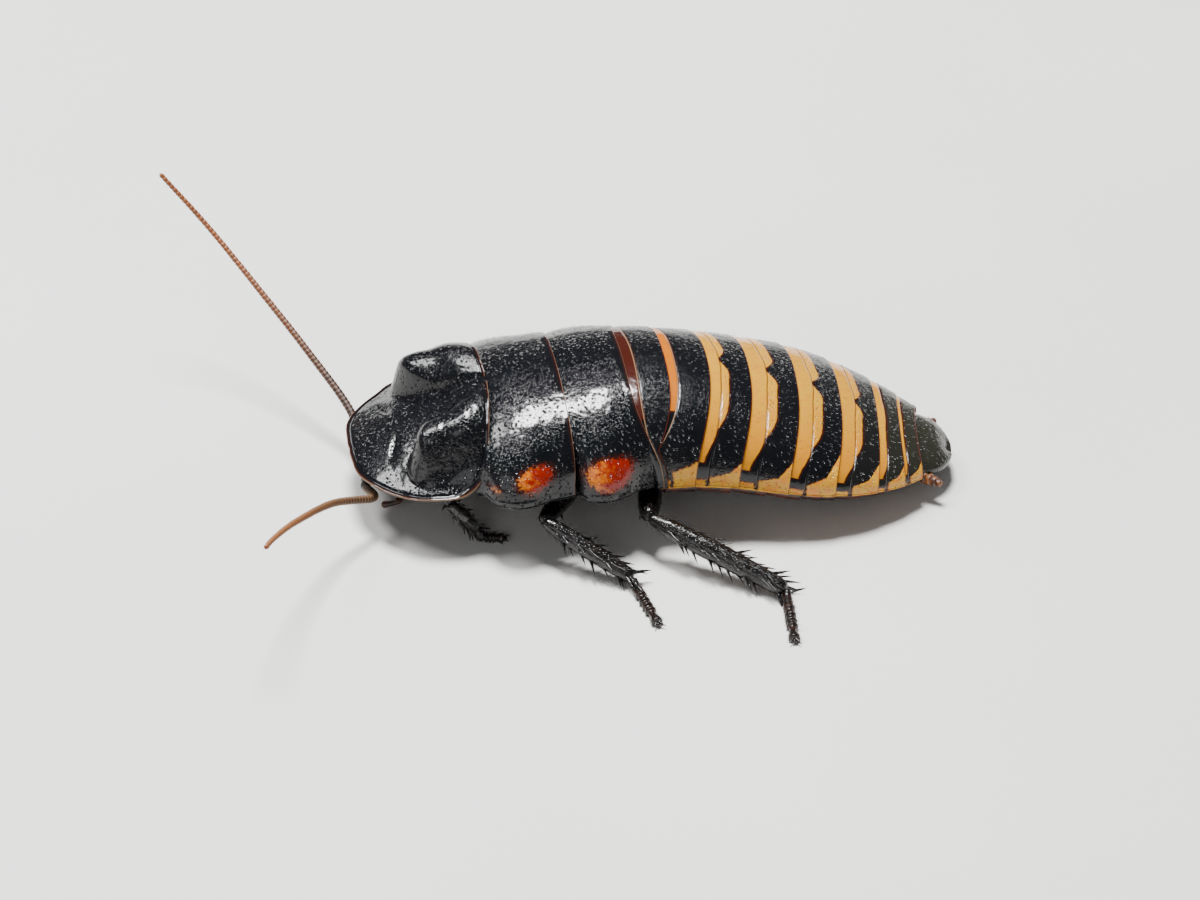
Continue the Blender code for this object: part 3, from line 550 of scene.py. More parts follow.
class Way:
    """A smooth curve through points, asked by share of its length."""

    def __init__(self, *points):
        points = np.array(points, float)
        ends = np.vstack([2 * points[:1] - points[1:2], points, 2 * points[-1:] - points[-2:-1]])
        t = np.linspace(0, 1, 24, endpoint=False)[:, None]
        spans = [0.5 * (2 * b + (c - a) * t + (2 * a - 5 * b + 4 * c - d) * t ** 2
                        + (3 * b - a - 3 * c + d) * t ** 3)
                 for a, b, c, d in zip(ends, ends[1:], ends[2:], ends[3:])]
        self.fine = np.vstack(spans + [points[-1:]])
        steps = np.linalg.norm(np.diff(self.fine, axis=0), axis=1)
        self.shares = np.concatenate([[0], np.cumsum(steps)]) / steps.sum()

    def at(self, share):
        return np.stack([np.interp(share, self.shares, axis) for axis in self.fine.T], -1)

    def across(self, share):
        """The directions aside and upward at each share."""
        ahead = unit(self.at(np.minimum(share + 0.03, 1)) - self.at(np.maximum(share - 0.03, 0)))
        aside = unit(np.cross(ahead, (0.0, 0.0, 1.0)))
        return aside, np.cross(aside, ahead)


def rounded(rows, end=0.04):
    """Shares along a limb that crowd at its ends, and the factor that rounds them off."""
    near = end * (1 - np.cos(np.linspace(0, math.pi / 2, 8)))[:-1]
    share = np.concatenate([near, np.linspace(end, 1 - end, rows), 1 - near[::-1]])
    inward = np.minimum(np.minimum(share, 1 - share) / end, 1.0)
    return share, np.sqrt(np.maximum(1 - (1 - inward) ** 2, 0.003))


def sleeve(way, share, radius, sides, deep=1.0):
    """Rings of points round a way, one for each share and radius; deep stretches them upright."""
    wide = radius[:, None, None]
    aside, upward = way.across(share)
    angle = np.linspace(0, 2 * math.pi, sides, endpoint=False)[None, :, None]
    return (way.at(share)[:, None] + aside[:, None] * wide * np.cos(angle)
            + upward[:, None] * wide * deep * np.sin(angle))


def limb(form, way, radius, rows=60, sides=28, deep=1.0, floor=None, end=0.04):
    """A limb along a way with rounded ends; radius is a Profile by share."""
    share, factor = rounded(rows, end)
    points = sleeve(way, share, radius(share) * factor, sides, deep)
    if floor is not None:
        points[..., 2] = np.maximum(points[..., 2], floor)
    return form.tube(points, share=share[:, None])


def thorn(form, root, ahead, length, radius, bend=0.06, least=0.1, rows=9, sides=8):
    """One tapering spine that bends down a little and swells at its root."""
    ahead = unit(np.array(ahead, float))
    aside = unit(np.cross(ahead, (0.0, 0.0, 1.0)))
    upward = np.cross(aside, ahead)
    t = np.linspace(0, 1, rows)[:, None, None]
    wide = radius * (0.86 * (1 - t) ** 0.8 + 0.14 * np.maximum(1 - t / 0.15, 0) + 0.02)
    angle = np.linspace(0, 2 * math.pi, sides, endpoint=False)[None, :, None]
    points = (np.array(root) + ahead * length * t - upward * bend * length * t * t
              + aside * wide * np.cos(angle) + upward * wide * np.sin(angle))
    points[..., 2] = np.maximum(points[..., 2], least)
    form.tube(points, share=t[..., 0])


# Coxa root, hip, knee, ankle and toe of each leg
LEGS = {
    ("front", "left"): ((7.6, -4.6, 4.9), (11.6, -3.5, 2.9), (9.9, -8.7, 4.7), (12.8, -9.1, 1.3),
                        (15.6, -9.9, 0.44)),
    ("front", "right"): ((7.6, 4.6, 4.9), (11.6, 3.5, 2.9), (8.2, 9.6, 4.9), (12.0, 11.4, 1.0),
                         (15.2, 14.2, 0.44)),
    ("middle", "left"): ((18.2, -5.8, 4.9), (24.2, -4.4, 2.8), (19.2, -13.2, 4.9), (27.9, -19.2, 1.0),
                         (29.2, -26.4, 0.44)),
    ("middle", "right"): ((18.2, 5.8, 4.9), (24.2, 4.4, 2.8), (19.6, 13.2, 4.9), (27.8, 18.9, 1.0),
                          (32.0, 24.2, 0.44)),
    ("hind", "left"): ((26.2, -5.8, 4.9), (32.5, -4.4, 2.7), (30.4, -13.8, 4.8), (43.6, -23.2, 1.0),
                       (42.8, -30.9, 0.44)),
    ("hind", "right"): ((26.2, 5.8, 4.9), (32.5, 4.4, 2.7), (30.6, 13.6, 4.8), (44.0, 19.4, 1.0),
                        (49.4, 21.2, 0.44)),
}
FEMUR_RADIUS = {"front": 1.0, "middle": 1.15, "hind": 1.3}
TIBIA_RADIUS = {"front": 0.85, "middle": 1.0, "hind": 1.15}
TARSUS_RADIUS = 0.56
TARSOMERE_ENDS = (0.0, 0.38, 0.52, 0.64, 0.75, 1.0)
HEEL_SHARE, HEEL_LEVEL = 0.2, 0.46
CLAW_LENGTH, CLAW_RADIUS, CLAW_SPREAD = 1.2, 0.2, 32
TIBIA_STATIONS = {"front": 4, "middle": 6, "hind": 7}
TIBIA_SPINE = {"front": 1.6, "middle": 2.1, "hind": 2.5}
FEMUR_SPINES, FEMUR_SPINE = 3, 1.1
SPINE_RADIUS, SPINE_LEAN, SEED = 0.34, 40, 7
FINE_SPINE_RADIUS, FINE_SPINE_LEAN, FINE_SPINE_TILT = 0.24, 32, 62


def limb_axes(start, end):
    """The directions ahead, aside and upward of a straight limb."""
    ahead = unit(end - start)
    aside = unit(np.cross(ahead, (0.0, 0.0, 1.0)))
    return ahead, aside, np.cross(aside, ahead)


def make_leg(pair, side, chance, finish, foot_finish):
    """Coxa, femur, tibia and tarsus with their spines, claws and pad."""
    root, hip, knee, ankle, toe = [np.array(place) for place in LEGS[pair, side]]
    thick, thin = FEMUR_RADIUS[pair], TIBIA_RADIUS[pair]
    name = f"{pair}_{side}"
    coxa = limb(Form(), Way(root, hip), Profile((0.0, 1.0), (0.1, 1.5), (0.4, 1.75), (0.8, 1.35),
                                                (0.97, 1.0), (1.0, 0.95)), deep=0.85, end=0.1)
    shell(f"coxa_{name}", coxa, finish, "leg_cuticle")

    femur = limb(Form(), Way(hip, knee), Profile((0.0, 0.62), (0.05, 0.8), (0.3, thick),
                                                 (0.65, thick * 0.95), (0.9, thick * 0.75), (1.0, 0.62)),
                 deep=0.9, end=0.06)
    ahead, aside, upward = limb_axes(hip, knee)
    for k in range(FEMUR_SPINES):
        out = unit(aside * (0.8 if k % 2 else -0.8) - upward)
        place = hip + (knee - hip) * (0.55 + 0.13 * k) + out * 0.3 * thick
        thorn(femur, place, out + ahead * 0.7, FEMUR_SPINE * chance.uniform(0.9, 1.1) + 0.6, SPINE_RADIUS)
    shell(f"femur_{name}", femur, finish, "leg_cuticle")

    tibia = limb(Form(), Way(knee, ankle), Profile((0.0, 0.5), (0.05, 0.66), (0.15, thin * 0.85),
                                                   (0.45, thin), (0.93, thin * 0.82), (1.0, 0.55)),
                 rows=80, end=0.03)
    ahead, aside, upward = limb_axes(knee, ankle)
    stations = TIBIA_STATIONS[pair]
    for k in range(stations):
        share = 0.2 + 0.74 * k / (stations - 1)
        tilt = math.radians(28 if k % 2 else -24)
        for sign in (-1, 1):
            out = aside * sign * math.cos(tilt) + upward * math.sin(tilt)
            lean = math.radians(SPINE_LEAN + chance.uniform(-7, 7))
            length = TIBIA_SPINE[pair] * chance.uniform(0.85, 1.1) * (1.15 if k == stations - 1 else 1.0)
            place = knee + (ankle - knee) * (share + chance.uniform(-0.02, 0.02)) + out * 0.2 * thin
            thorn(tibia, place, out * math.sin(lean) + ahead * math.cos(lean), length + 0.5, SPINE_RADIUS)
    between = random.Random(f"{name} between")
    for k in range(2 * stations):
        share = 0.14 + 0.8 * k / (2 * stations - 1)
        for sign in (-1, 1):
            tilt = math.radians(between.uniform(-FINE_SPINE_TILT, FINE_SPINE_TILT))
            out = aside * sign * math.cos(tilt) + upward * math.sin(tilt)
            lean = math.radians(FINE_SPINE_LEAN + between.uniform(-8, 8))
            place = knee + (ankle - knee) * share + out * 0.55 * thin
            thorn(tibia, place, out * math.sin(lean) + ahead * math.cos(lean),
                  0.75 * TIBIA_SPINE[pair] + 0.3, FINE_SPINE_RADIUS)
    shell(f"tibia_{name}", tibia, finish, "leg_cuticle")

    heel = ankle + (toe - ankle) * HEEL_SHARE
    heel[2] = HEEL_LEVEL
    stations = [(0.0, 0.3)]
    for start, end in zip(TARSOMERE_ENDS, TARSOMERE_ENDS[1:]):
        stations += [(start + 0.02, 0.7 * TARSUS_RADIUS), (end - 0.06, 1.1 * TARSUS_RADIUS),
                     (end - 0.025, 1.12 * TARSUS_RADIUS), (end - 0.005, 0.74 * TARSUS_RADIUS)]
    tarsus = limb(Form(), Way(ankle, heel, toe), Profile(*stations, (1.0, 0.3)), rows=170, sides=24,
                  floor=0.0, end=0.02)
    ahead = unit((toe - ankle) * (1, 1, 0))
    for sign in (-1, 1):
        turn = Matrix.Rotation(math.radians(sign * CLAW_SPREAD), 3, "Z")
        out = np.array(turn) @ ahead + (0, 0, 0.12)
        thorn(tarsus, toe - ahead * 0.35 + (0, 0, 0.12), out, CLAW_LENGTH, CLAW_RADIUS, bend=0.22,
              least=0.02, rows=14, sides=10)
    pad = Way(toe - ahead * 0.1, toe + ahead * 0.35 + (0, 0, -0.06))
    limb(tarsus, pad, Profile((0.0, 0.22), (0.6, 0.26), (1.0, 0.22)), rows=10, sides=16, floor=0.0,
         end=0.3)
    shell(f"tarsus_{name}", tarsus, foot_finish, "leg_cuticle")


def make_thorax_base(finish):
    """The three lower pieces of the thorax that carry the legs."""
    spans = (("prosternum", 6.0, 13.5, 7.15, 4.4), ("mesosternum", 13.8, 22.2, 6.6, 4.0),
             ("metasternum", 22.5, 32.6, 6.6, 3.8))
    for name, front, back, top, low_end in spans:
        corners = ((7.6, top), (7.2, 0.6 * top + 0.4 * low_end), (5.4, low_end + 0.3), (2.5, low_end))
        section = Way(*[(0, -y, z) for y, z in corners], (0, 0, low_end),
                      *[(0, y, z) for y, z in corners[::-1]]).at(np.linspace(0, 1, 60))
        share = (1 - np.cos(np.linspace(0, math.pi, 26))) / 2
        swell = (0.85 + 0.15 * np.sin(math.pi * share))[:, None]
        s = (front + (back - front) * share)[:, None]
        form = Form().tube(in_body(s, section[:, 1] * swell, section[:, 2]))
        shell(name, form, finish, "belly_cuticle")


def make_membranes(finish):
    """The soft skin that shows in the seams: between the upper and lower plates, and at the neck."""
    s = np.linspace(30.0, 60.5, 60)[:, None]
    u = np.linspace(-1, 1, 41)[None]
    wide = half_width(s) - 1.7
    over = in_body(s, wide * u, margin_level(s) + 0.02)
    under = in_body(s, wide * u[:, ::-1], margin_level(s) - GAP - 0.02)
    form = Form().tube(np.concatenate([over, under], axis=1))
    limb(form, Way((4.6, 0.0, 5.2), (6.4, 0.0, 5.7)), Profile((0.0, 1.7), (0.5, 1.9), (1.0, 2.1)), rows=20,
         end=0.1)
    piece("seam_membrane", form, finish, "belly_cuticle")


# Head

HEAD_VERTEX, HEAD_MOUTH = np.array((2.9, 0.0, 6.9)), np.array((5.6, 0.0, 1.7))
HEAD_DOWN = unit(HEAD_MOUTH - HEAD_VERTEX)
HEAD_FACE = -np.abs(np.cross((0, 1, 0), HEAD_DOWN))
HEAD_SECTIONS = ((0.0, 0.3, 0.3), (0.03, 1.4, 0.8), (0.09, 2.35, 1.4), (0.18, 3.0, 1.85),
                 (0.34, 3.3, 2.15), (0.52, 3.2, 2.1), (0.7, 2.7, 1.8), (0.86, 2.2, 1.45), (1.0, 1.8, 1.1))
HEAD_SQUARENESS = 2.6
PALP_ENDS = (0.0, 0.16, 0.36, 0.66, 1.0)


def spot(share, y, forward):
    """A place on the head: share from vertex to mouth, y aside, forward towards the face."""
    return HEAD_VERTEX + (HEAD_MOUTH - HEAD_VERTEX) * share + np.array((0, y, 0)) + HEAD_FACE * forward


def make_head(head_finish, eye_finish, palp_finish):
    """The head capsule with its antennal sockets, the eyes, and the parts of the mouth."""
    share = np.concatenate([[0.0, 0.006, 0.015], np.linspace(0.03, 0.985, 100), [1.0]])[:, None]
    wide = Profile(*[(at, w) for at, w, _ in HEAD_SECTIONS])(share)
    thick = Profile(*[(at, t) for at, _, t in HEAD_SECTIONS])(share)
    angle = np.linspace(0, 2 * math.pi, 120, endpoint=False)
    x, y = np.cos(angle), np.sin(angle)
    off = (np.abs(x) ** HEAD_SQUARENESS + np.abs(y) ** HEAD_SQUARENESS) ** (-1 / HEAD_SQUARENESS)
    x, y = x * off, y * off
    # The face is a little hollow beside its middle ridge, and the clypeus steps down above the mouth
    hollow = 0.1 * np.exp(-((np.abs(x * wide) - 1.2) / 0.6) ** 2 - ((share - 0.5) / 0.12) ** 2)
    step = 0.07 * smooth(0.755, 0.785, share)
    deep = thick - (hollow + step) * (y > 0)
    points = (HEAD_VERTEX + (HEAD_MOUTH - HEAD_VERTEX) * share[..., None]
              + np.array((0, 1, 0)) * (wide * x)[..., None] + HEAD_FACE * (deep * y)[..., None])
    head = Form().tube(points, share=share, aside=np.abs(wide * x), facing=y)
    for sign in (-1, 1):
        limb(head, Way(spot(0.5, sign * 1.5, 1.5), spot(0.52, sign * 1.5, 2.18)),
             Profile((0.0, 0.9), (0.7, 0.86), (1.0, 0.7)), rows=14, end=0.2)
    shell("head", head, head_finish, "head_cuticle")

    def jointed(wide, tip):
        stations = [(0.0, 0.28)]
        for start, end in zip(PALP_ENDS, PALP_ENDS[1:]):
            stations += [(start + 0.03, 0.75 * wide), (end - 0.06, wide), (end - 0.012, 0.75 * wide)]
        return Profile(*stations, (1.0, tip))

    for side, sign in (("left", -1), ("right", 1)):
        eye = limb(Form(), Way(spot(0.1, sign * 2.4, -0.1), spot(0.58, sign * 2.8, 0.2)),
                   Profile((0.0, 0.5), (0.06, 0.65), (0.18, 0.9), (0.4, 1.06), (0.62, 1.0), (0.8, 0.82),
                           (0.93, 0.6), (1.0, 0.5)), rows=70, sides=64, end=0.1)
        shell(f"eye_{side}", eye, eye_finish, "eye")
        bite = Way(spot(0.84, sign * 1.5, -0.1), spot(1.0, sign * 1.35, 0.0), spot(1.14, sign * 0.55, 0.1))
        jaw = limb(Form(), bite, Profile((0.0, 0.5), (0.3, 0.6), (0.6, 0.52), (0.85, 0.36), (1.0, 0.2)),
                   end=0.06)
        shell(f"mandible_{side}", jaw, head_finish, "head_cuticle")
        palp = limb(Form(), Way((5.6, sign * 1.9, 2.9), (5.9, sign * 3.1, 2.2), (4.9, sign * 3.8, 1.7),
                                (3.4, sign * 3.4, 1.1)), jointed(0.36, 0.24), rows=110, sides=24, end=0.03)
        shell(f"palp_{side}", palp, palp_finish, "palp")
    labrum = limb(Form(), Way(spot(0.86, 0.0, 1.15), spot(1.16, 0.0, 0.85)),
                  Profile((0.0, 0.9), (0.3, 1.05), (0.7, 1.0), (1.0, 0.7)), deep=0.35, end=0.12)
    shell("labrum", labrum, head_finish, "head_cuticle")
    labium = limb(Form(), Way(spot(0.72, 0.0, -2.1), spot(1.1, 0.0, -1.5)),
                  Profile((0.0, 0.8), (0.2, 1.1), (0.6, 1.2), (0.9, 0.95), (1.0, 0.7)), deep=0.4, end=0.12)
    for sign in (-1, 1):
        start = spot(0.92, sign * 0.7, -1.7)
        reach = unit(np.array((0.5, sign, -0.45))) * 2.1
        limb(labium, Way(start, start + reach * 0.55 - (0, 0, 0.03), start + reach - (0, 0, 0.12)),
             Profile((0.0, 0.24), (0.28, 0.26), (0.33, 0.2), (0.38, 0.24), (0.62, 0.24), (0.67, 0.18),
                     (0.72, 0.22), (0.9, 0.2), (1.0, 0.14)), rows=60, sides=18)
    shell("labium", labium, head_finish, "head_cuticle")


# Feelers and cerci

ANTENNA_LEFT = ((2.6, -1.5, 4.1), (1.6, -3.4, 3.9), (2.0, -6.6, 4.6), (-2.9, -10.8, 7.4),
                (-7.7, -18.0, 10.8), (-10.8, -25.3, 14.5), (-12.1, -29.3, 16.5))
ANTENNA_RIGHT = ((2.6, 1.5, 4.1), (1.7, 3.4, 3.9), (1.6, 8.1, 5.4), (-2.3, 15.0, 9.0), (-6.3, 20.8, 12.6),
                 (-11.6, 27.0, 17.8), (-16.6, 30.4, 23.1))
ANTENNA_RADIUS = (0.48, 0.26)
ANTENNA_RINGS = 72
CERCUS_RINGS = (0.62, 0.74, 0.78, 0.74, 0.66, 0.54, 0.4)


def make_antenna(side, points, finish):
    """A stout scape, a pedicel and a flagellum of short rings, each a little wider at its far end."""
    stations = [(0.0, 0.45), (0.006, 0.62), (0.04, 0.66), (0.046, 0.42), (0.05, 0.5), (0.066, 0.52),
                (0.07, 0.4)]
    first, step = 0.074, 0.924 / ANTENNA_RINGS
    thick, thin = ANTENNA_RADIUS
    for k in range(ANTENNA_RINGS):
        start, wide = first + k * step, thick + (thin - thick) * k / (ANTENNA_RINGS - 1)
        stations += [(start + 0.08 * step, wide * 0.86), (start + 0.35 * step, wide * 0.95),
                     (start + 0.86 * step, wide), (start + 0.97 * step, wide * 0.88)]
    profile = Profile(*stations, (1.0, 0.2))
    share = np.unique([0.0, 0.002, *[at for at, _ in stations], 1.0])
    way = Way(*points)
    wide = profile(share)
    wide[0], wide[-1] = 0.3, 0.05
    ring = np.clip((share - first) / step, 0, ANTENNA_RINGS) % 1.0
    form = Form().tube(sleeve(way, share, wide, 16), share=share[:, None], ring=ring[:, None])
    shell(f"antenna_{side}", form, finish, "antenna")


def make_cercus(side, sign, finish):
    """A short jointed feeler beside the last plates, thickest in its middle rings."""
    stations = [(0.0, 0.5)]
    step = 0.95 / len(CERCUS_RINGS)
    for k, wide in enumerate(CERCUS_RINGS):
        start = 0.02 + k * step
        stations += [(start + 0.06 * step, wide * 0.84), (start + 0.4 * step, wide * 0.97),
                     (start + 0.8 * step, wide)]
    way = Way(*in_body((61.6, 63.3, 65.0), (sign * 3.4, sign * 4.9, sign * 5.9), (2.9, 2.7, 2.6)))
    form = limb(Form(), way, Profile(*stations, (1.0, 0.3)), rows=120, end=0.06)
    shell(f"cercus_{side}", form, finish, "cercus")


# Hairs

HAIR_CORNERS = 10


def grow(name, skins, number, lengths, thick, finish, slot, lean, spare=None, upward=False, tipwards=True):
    """Fine hairs as one mesh. They stand on the shells of the named nodes, lean towards the tip or the tail,
    and are left out where spare gives 0 for the marks there.
    """
    chance = np.random.default_rng(len(name) + number)
    gathered = []
    for k, skin in enumerate(skins):
        form = SKINS[skin]
        corner = form.skin[:-1, :-1]
        rows, columns = form.skin[1:, :-1] - corner, form.skin[:-1, 1:] - corner
        normal = np.cross(rows, columns)
        away = corner - form.skin.mean(axis=1, keepdims=True)[:-1]
        side = normal[..., 2] if upward else (normal * away).sum(-1)
        weight = np.linalg.norm(normal, axis=-1)
        if spare:
            weight = weight * spare({key: value[:-1, :-1] for key, value in form.lie.items()})
        ahead = unit(rows if tipwards else columns)
        r, c = np.indices(weight.shape)
        unwrapped = np.stack([c / weight.shape[1], (k + r / weight.shape[0]) / len(skins)], -1)
        down, across = [chance.random(weight.shape)[..., None] for _ in range(2)]
        root = corner + rows * down + columns * across
        outward = unit(normal) * np.sign(side)[..., None]
        gathered.append([part.reshape(-1, part.shape[-1])
                         for part in (root, outward, ahead, unwrapped, weight[..., None])])
    root, normal, ahead, unwrapped, weight = [np.concatenate(parts) for parts in zip(*gathered)]
    picked = chance.choice(len(root), number, p=weight[:, 0] / weight.sum())
    root, normal, ahead, unwrapped = root[picked], normal[picked], ahead[picked], unwrapped[picked]
    length = chance.uniform(*lengths, number)[:, None]
    stand = unit(normal * (1 - lean) + ahead * lean + chance.normal(0, 0.18, (number, 3)))
    aside = unit(np.cross(stand, ahead + (0.01, 0.02, 0.03)))
    other = np.cross(stand, aside)
    rows = []
    for share, wide in ((0.0, 1.0), (0.4, 0.8), (0.75, 0.45)):
        middle = root - normal * 0.02 + length * (stand * share + ahead * 0.25 * share ** 2)
        rows += [middle + thick * wide * (aside * math.cos(turn) + other * math.sin(turn))
                 for turn in (0.0, 2.1, 4.2)]
    rows.append(root + length * (stand + ahead * 0.25))
    points = np.stack(rows, 1)
    points[..., 2] = np.maximum(points[..., 2], 0.03)
    sides = [(0, 2, 1)]
    for j in range(3):
        after = (j + 1) % 3
        sides += [(q + j, q + after, q + 3 + after, q + 3 + j) for q in (0, 3)] + [(6 + j, 6 + after, 9)]
    faces = [[HAIR_CORNERS * hair + corner for corner in face] for hair in range(number) for face in sides]
    thing = piece(name, Form().add(points, faces), finish, slot)
    turns = 2.1 * np.arange(HAIR_CORNERS)
    patch = np.stack([np.cos(turns), np.sin(turns)], -1) * 0.0015
    places = (0.002 + 0.996 * unwrapped[:, None] + patch).reshape(-1, 2)
    corners = np.empty(len(thing.data.loops), int)
    thing.data.loops.foreach_get("vertex_index", corners)
    thing.data.uv_layers.new(name="OFBake").data.foreach_set("uv", places[corners].astype(np.float32).ravel())


def make_hairs(finish, pale_finish):
    """Sparse short hairs on the shell, bristles on the legs, and a fine nap on feelers and cerci."""
    def open_shell(lie):
        return (lie["behind"] > 0.15) * (lie["before"] > 0.05) * (1 + 3 * (np.abs(lie["around"]) > 0.93))

    back = ["mesonotum", "metanotum"] + [f"tergite_{number}" for number in range(1, 9)]
    grow("back_hair", back, 3200, (0.18, 0.55), 0.012, finish, "banded_cuticle", 0.5, open_shell,
         tipwards=False, upward=True)
    grow("pronotum_hair", ["pronotum"], 900, (0.12, 0.35), 0.011, finish, "black_cuticle", 0.3, upward=True)
    grow("tail_hair", ["supra_anal_plate", "subgenital_plate"], 300, (0.3, 0.8), 0.013, finish,
         "black_cuticle", 0.6)
    for part, number, lengths in (("coxa", 500, (0.2, 0.5)), ("femur", 900, (0.25, 0.7)),
                                  ("tibia", 2000, (0.35, 1.0)), ("tarsus", 1500, (0.2, 0.5))):
        grow(f"{part}_bristles", [f"{part}_{pair}_{side}" for pair, side in LEGS], number, lengths, 0.018,
             finish, "leg_cuticle", 0.65)
    for part, number, lengths, thick, lean in (("antenna", 2600, (0.12, 0.3), 0.009, 0.6),
                                               ("cercus", 420, (0.2, 0.6), 0.01, 0.45),
                                               ("palp", 260, (0.1, 0.22), 0.009, 0.6)):
        grow(f"{part}_nap", [f"{part}_left", f"{part}_right"], number, lengths, thick, pale_finish, part,
             lean)
    grow("head_hair", ["head"], 260, (0.1, 0.25), 0.01, finish, "head_cuticle", 0.6)


# Finishes of this animal

JET, SLATE = tone(7, 8, 12), tone(12, 12, 15)
OCHRE, LOW_OCHRE, ORANGE = tone(188, 138, 30), tone(184, 122, 14), tone(176, 96, 4)
PATCH_PALE, PATCH_RED, PATCH_ORANGE = tone(206, 150, 38), tone(132, 22, 4), tone(196, 108, 20)
# The last of these is a painted highlight: a pale tan laid along rounded edges and creases for the light they
# catch.
RUST, FRINGE, PAINTED_EDGE_HIGHLIGHT = tone(56, 18, 9), tone(50, 14, 7), tone(150, 120, 92)


def pitted(finish, amount):
    """Layers of bump for shell: slow waves, then fine pits of two sizes."""
    waves = finish.noise(0.55, 2.0)
    pits = finish.cells(2.1).rise(0.36, 0.06) * amount
    fine = finish.cells(6.5).rise(0.45, 0.1) * amount
    return (waves, 0.12), (-pits, 0.1), (-fine, 0.012)


def black_finish():
    """Glossy blue-black shell with fine pits, the red-orange spots of the thoracic plates, and a painted
    highlight as a pale line along the edges.
    """
    finish = Finish("black_shell")
    before, lie = finish.mark("before"), finish.mark("patch_lie")
    ragged = finish.mark("patch") + (finish.noise(3.2, 4.0) - 0.5) * 1.5 - 0.15
    colour = finish.mix(finish.noise(0.4, 3.0).rise(0.4, 0.7), JET, SLATE)
    lie = lie + (finish.noise(1.4, 3.0) - 0.5) * 2.0
    warm = finish.mix(lie.rise(-0.8, 0.1), PATCH_ORANGE, PATCH_RED)
    specks = finish.cells(2.6).rise(0.24, 0.12)
    colour = finish.mix(ragged.rise(-0.5, 0.1), colour, FRINGE)
    colour = finish.mix(ragged.rise(0.0, 0.5) * (1.0 - specks * 0.8), colour, warm)
    colour = finish.mix(before.rise(0.35, 0.1) * 0.5, colour, tone(60, 22, 12))
    # Painted highlight: a pale line within 0.07 mm of the edge, for the light on the rounded rim.
    colour = finish.mix(before.rise(0.07, 0.03) * 0.35, colour, PAINTED_EDGE_HIGHLIGHT)
    finish.wear(Base_Color=colour, Roughness=finish.noise(1.4, 3.0) * 0.1 + 0.07, Specular_IOR_Level=0.42)
    finish.bump(*pitted(finish, before.rise(0.35, 1.0)))
    return finish


def banded_finish():
    """The tergites: black with pale bands in front, pale side patches, and a crease behind each band, drawn
    as a dark line of painted shade with a painted highlight over it on the first two.
    """
    finish = Finish("banded_shell")
    before, crease, tint = finish.mark("before"), finish.mark("crease"), finish.mark("tint")
    aside = abs(finish.mark("around"))
    wander = finish.noise(2.0, 3.0) - 0.5
    band = finish.mark("band") + wander * 0.16
    patch = finish.mark("patch") + wander * 0.3 + (finish.noise(5.0, 3.0) - 0.5) * 0.6
    black = finish.mix(finish.noise(0.4, 3.0).rise(0.4, 0.7), JET, SLATE)
    black = finish.mix(finish.mark("dull").rise(0.0, 1.0) * 0.8, black, tone(38, 38, 30))
    ochre = finish.mix(aside.rise(0.1, 0.7), OCHRE, LOW_OCHRE)
    ochre = finish.mix(finish.noise(1.1, 4.0).rise(0.35, 0.75) * 0.5, ochre, tone(190, 116, 40))
    pale = finish.mix(tint.rise(0.0, 0.6), ochre, ORANGE)
    pale = finish.mix(tint.rise(0.65, 1.0), pale, RUST)
    pale = finish.mix(finish.cells(2.4).rise(0.14, 0.07) * 0.6, pale, FRINGE)
    # Painted shade: a dark line along each crease for the shade in its groove; on the first two tergites a
    # painted highlight is laid over it.
    crease_shade_and_highlight = abs(crease).rise(0.1, 0.03)
    pale = finish.mix(crease_shade_and_highlight * 0.8, pale, tone(70, 32, 12))
    colour = finish.mix(band.rise(-0.3, -0.02), black, FRINGE)
    colour = finish.mix(band.rise(-0.02, 0.12), colour, pale)
    # Painted highlight along the crease of the first two tergites.
    colour = finish.mix(crease_shade_and_highlight * tint.rise(0.52, 0.6) * 0.6, colour, PAINTED_EDGE_HIGHLIGHT)
    specks = finish.cells(2.6).rise(0.2, 0.12)
    gold = finish.mix(finish.noise(1.0, 3.0).rise(0.4, 0.7), PATCH_PALE, tone(208, 126, 38))
    colour = finish.mix(patch.rise(-0.35, 0.05), colour, FRINGE)
    colour = finish.mix(patch.rise(0.0, 0.3) * (1.0 - specks * 0.85), colour, gold)
    colour = finish.mix(before.rise(0.16, 0.05) * 0.7, colour, tone(84, 26, 12))
    finish.wear(Base_Color=colour, Roughness=finish.noise(1.4, 3.0) * 0.12 + 0.1, Specular_IOR_Level=0.38)
    groove = abs(crease).rise(0.0, 0.14)
    finish.bump((crease.rise(-0.1, 0.3), 0.09), (groove, 0.05), *pitted(finish, crease.rise(0.0, 0.3)))
    return finish


def plain_shell(name, dark, light, scale, roughness, depth):
    """Unbanded cuticle: two near tones in slow clouds, fine pits and a smooth gloss."""
    finish = Finish(name)
    colour = finish.mix(finish.noise(scale, 4.0).rise(0.38, 0.68), dark, light)
    finish.wear(Base_Color=colour, Roughness=finish.noise(2.0, 3.0) * 0.15 + roughness)
    finish.bump((finish.noise(0.9, 3.0), 0.08), (-finish.cells(4.5).rise(0.5, 0.05), depth))
    return finish


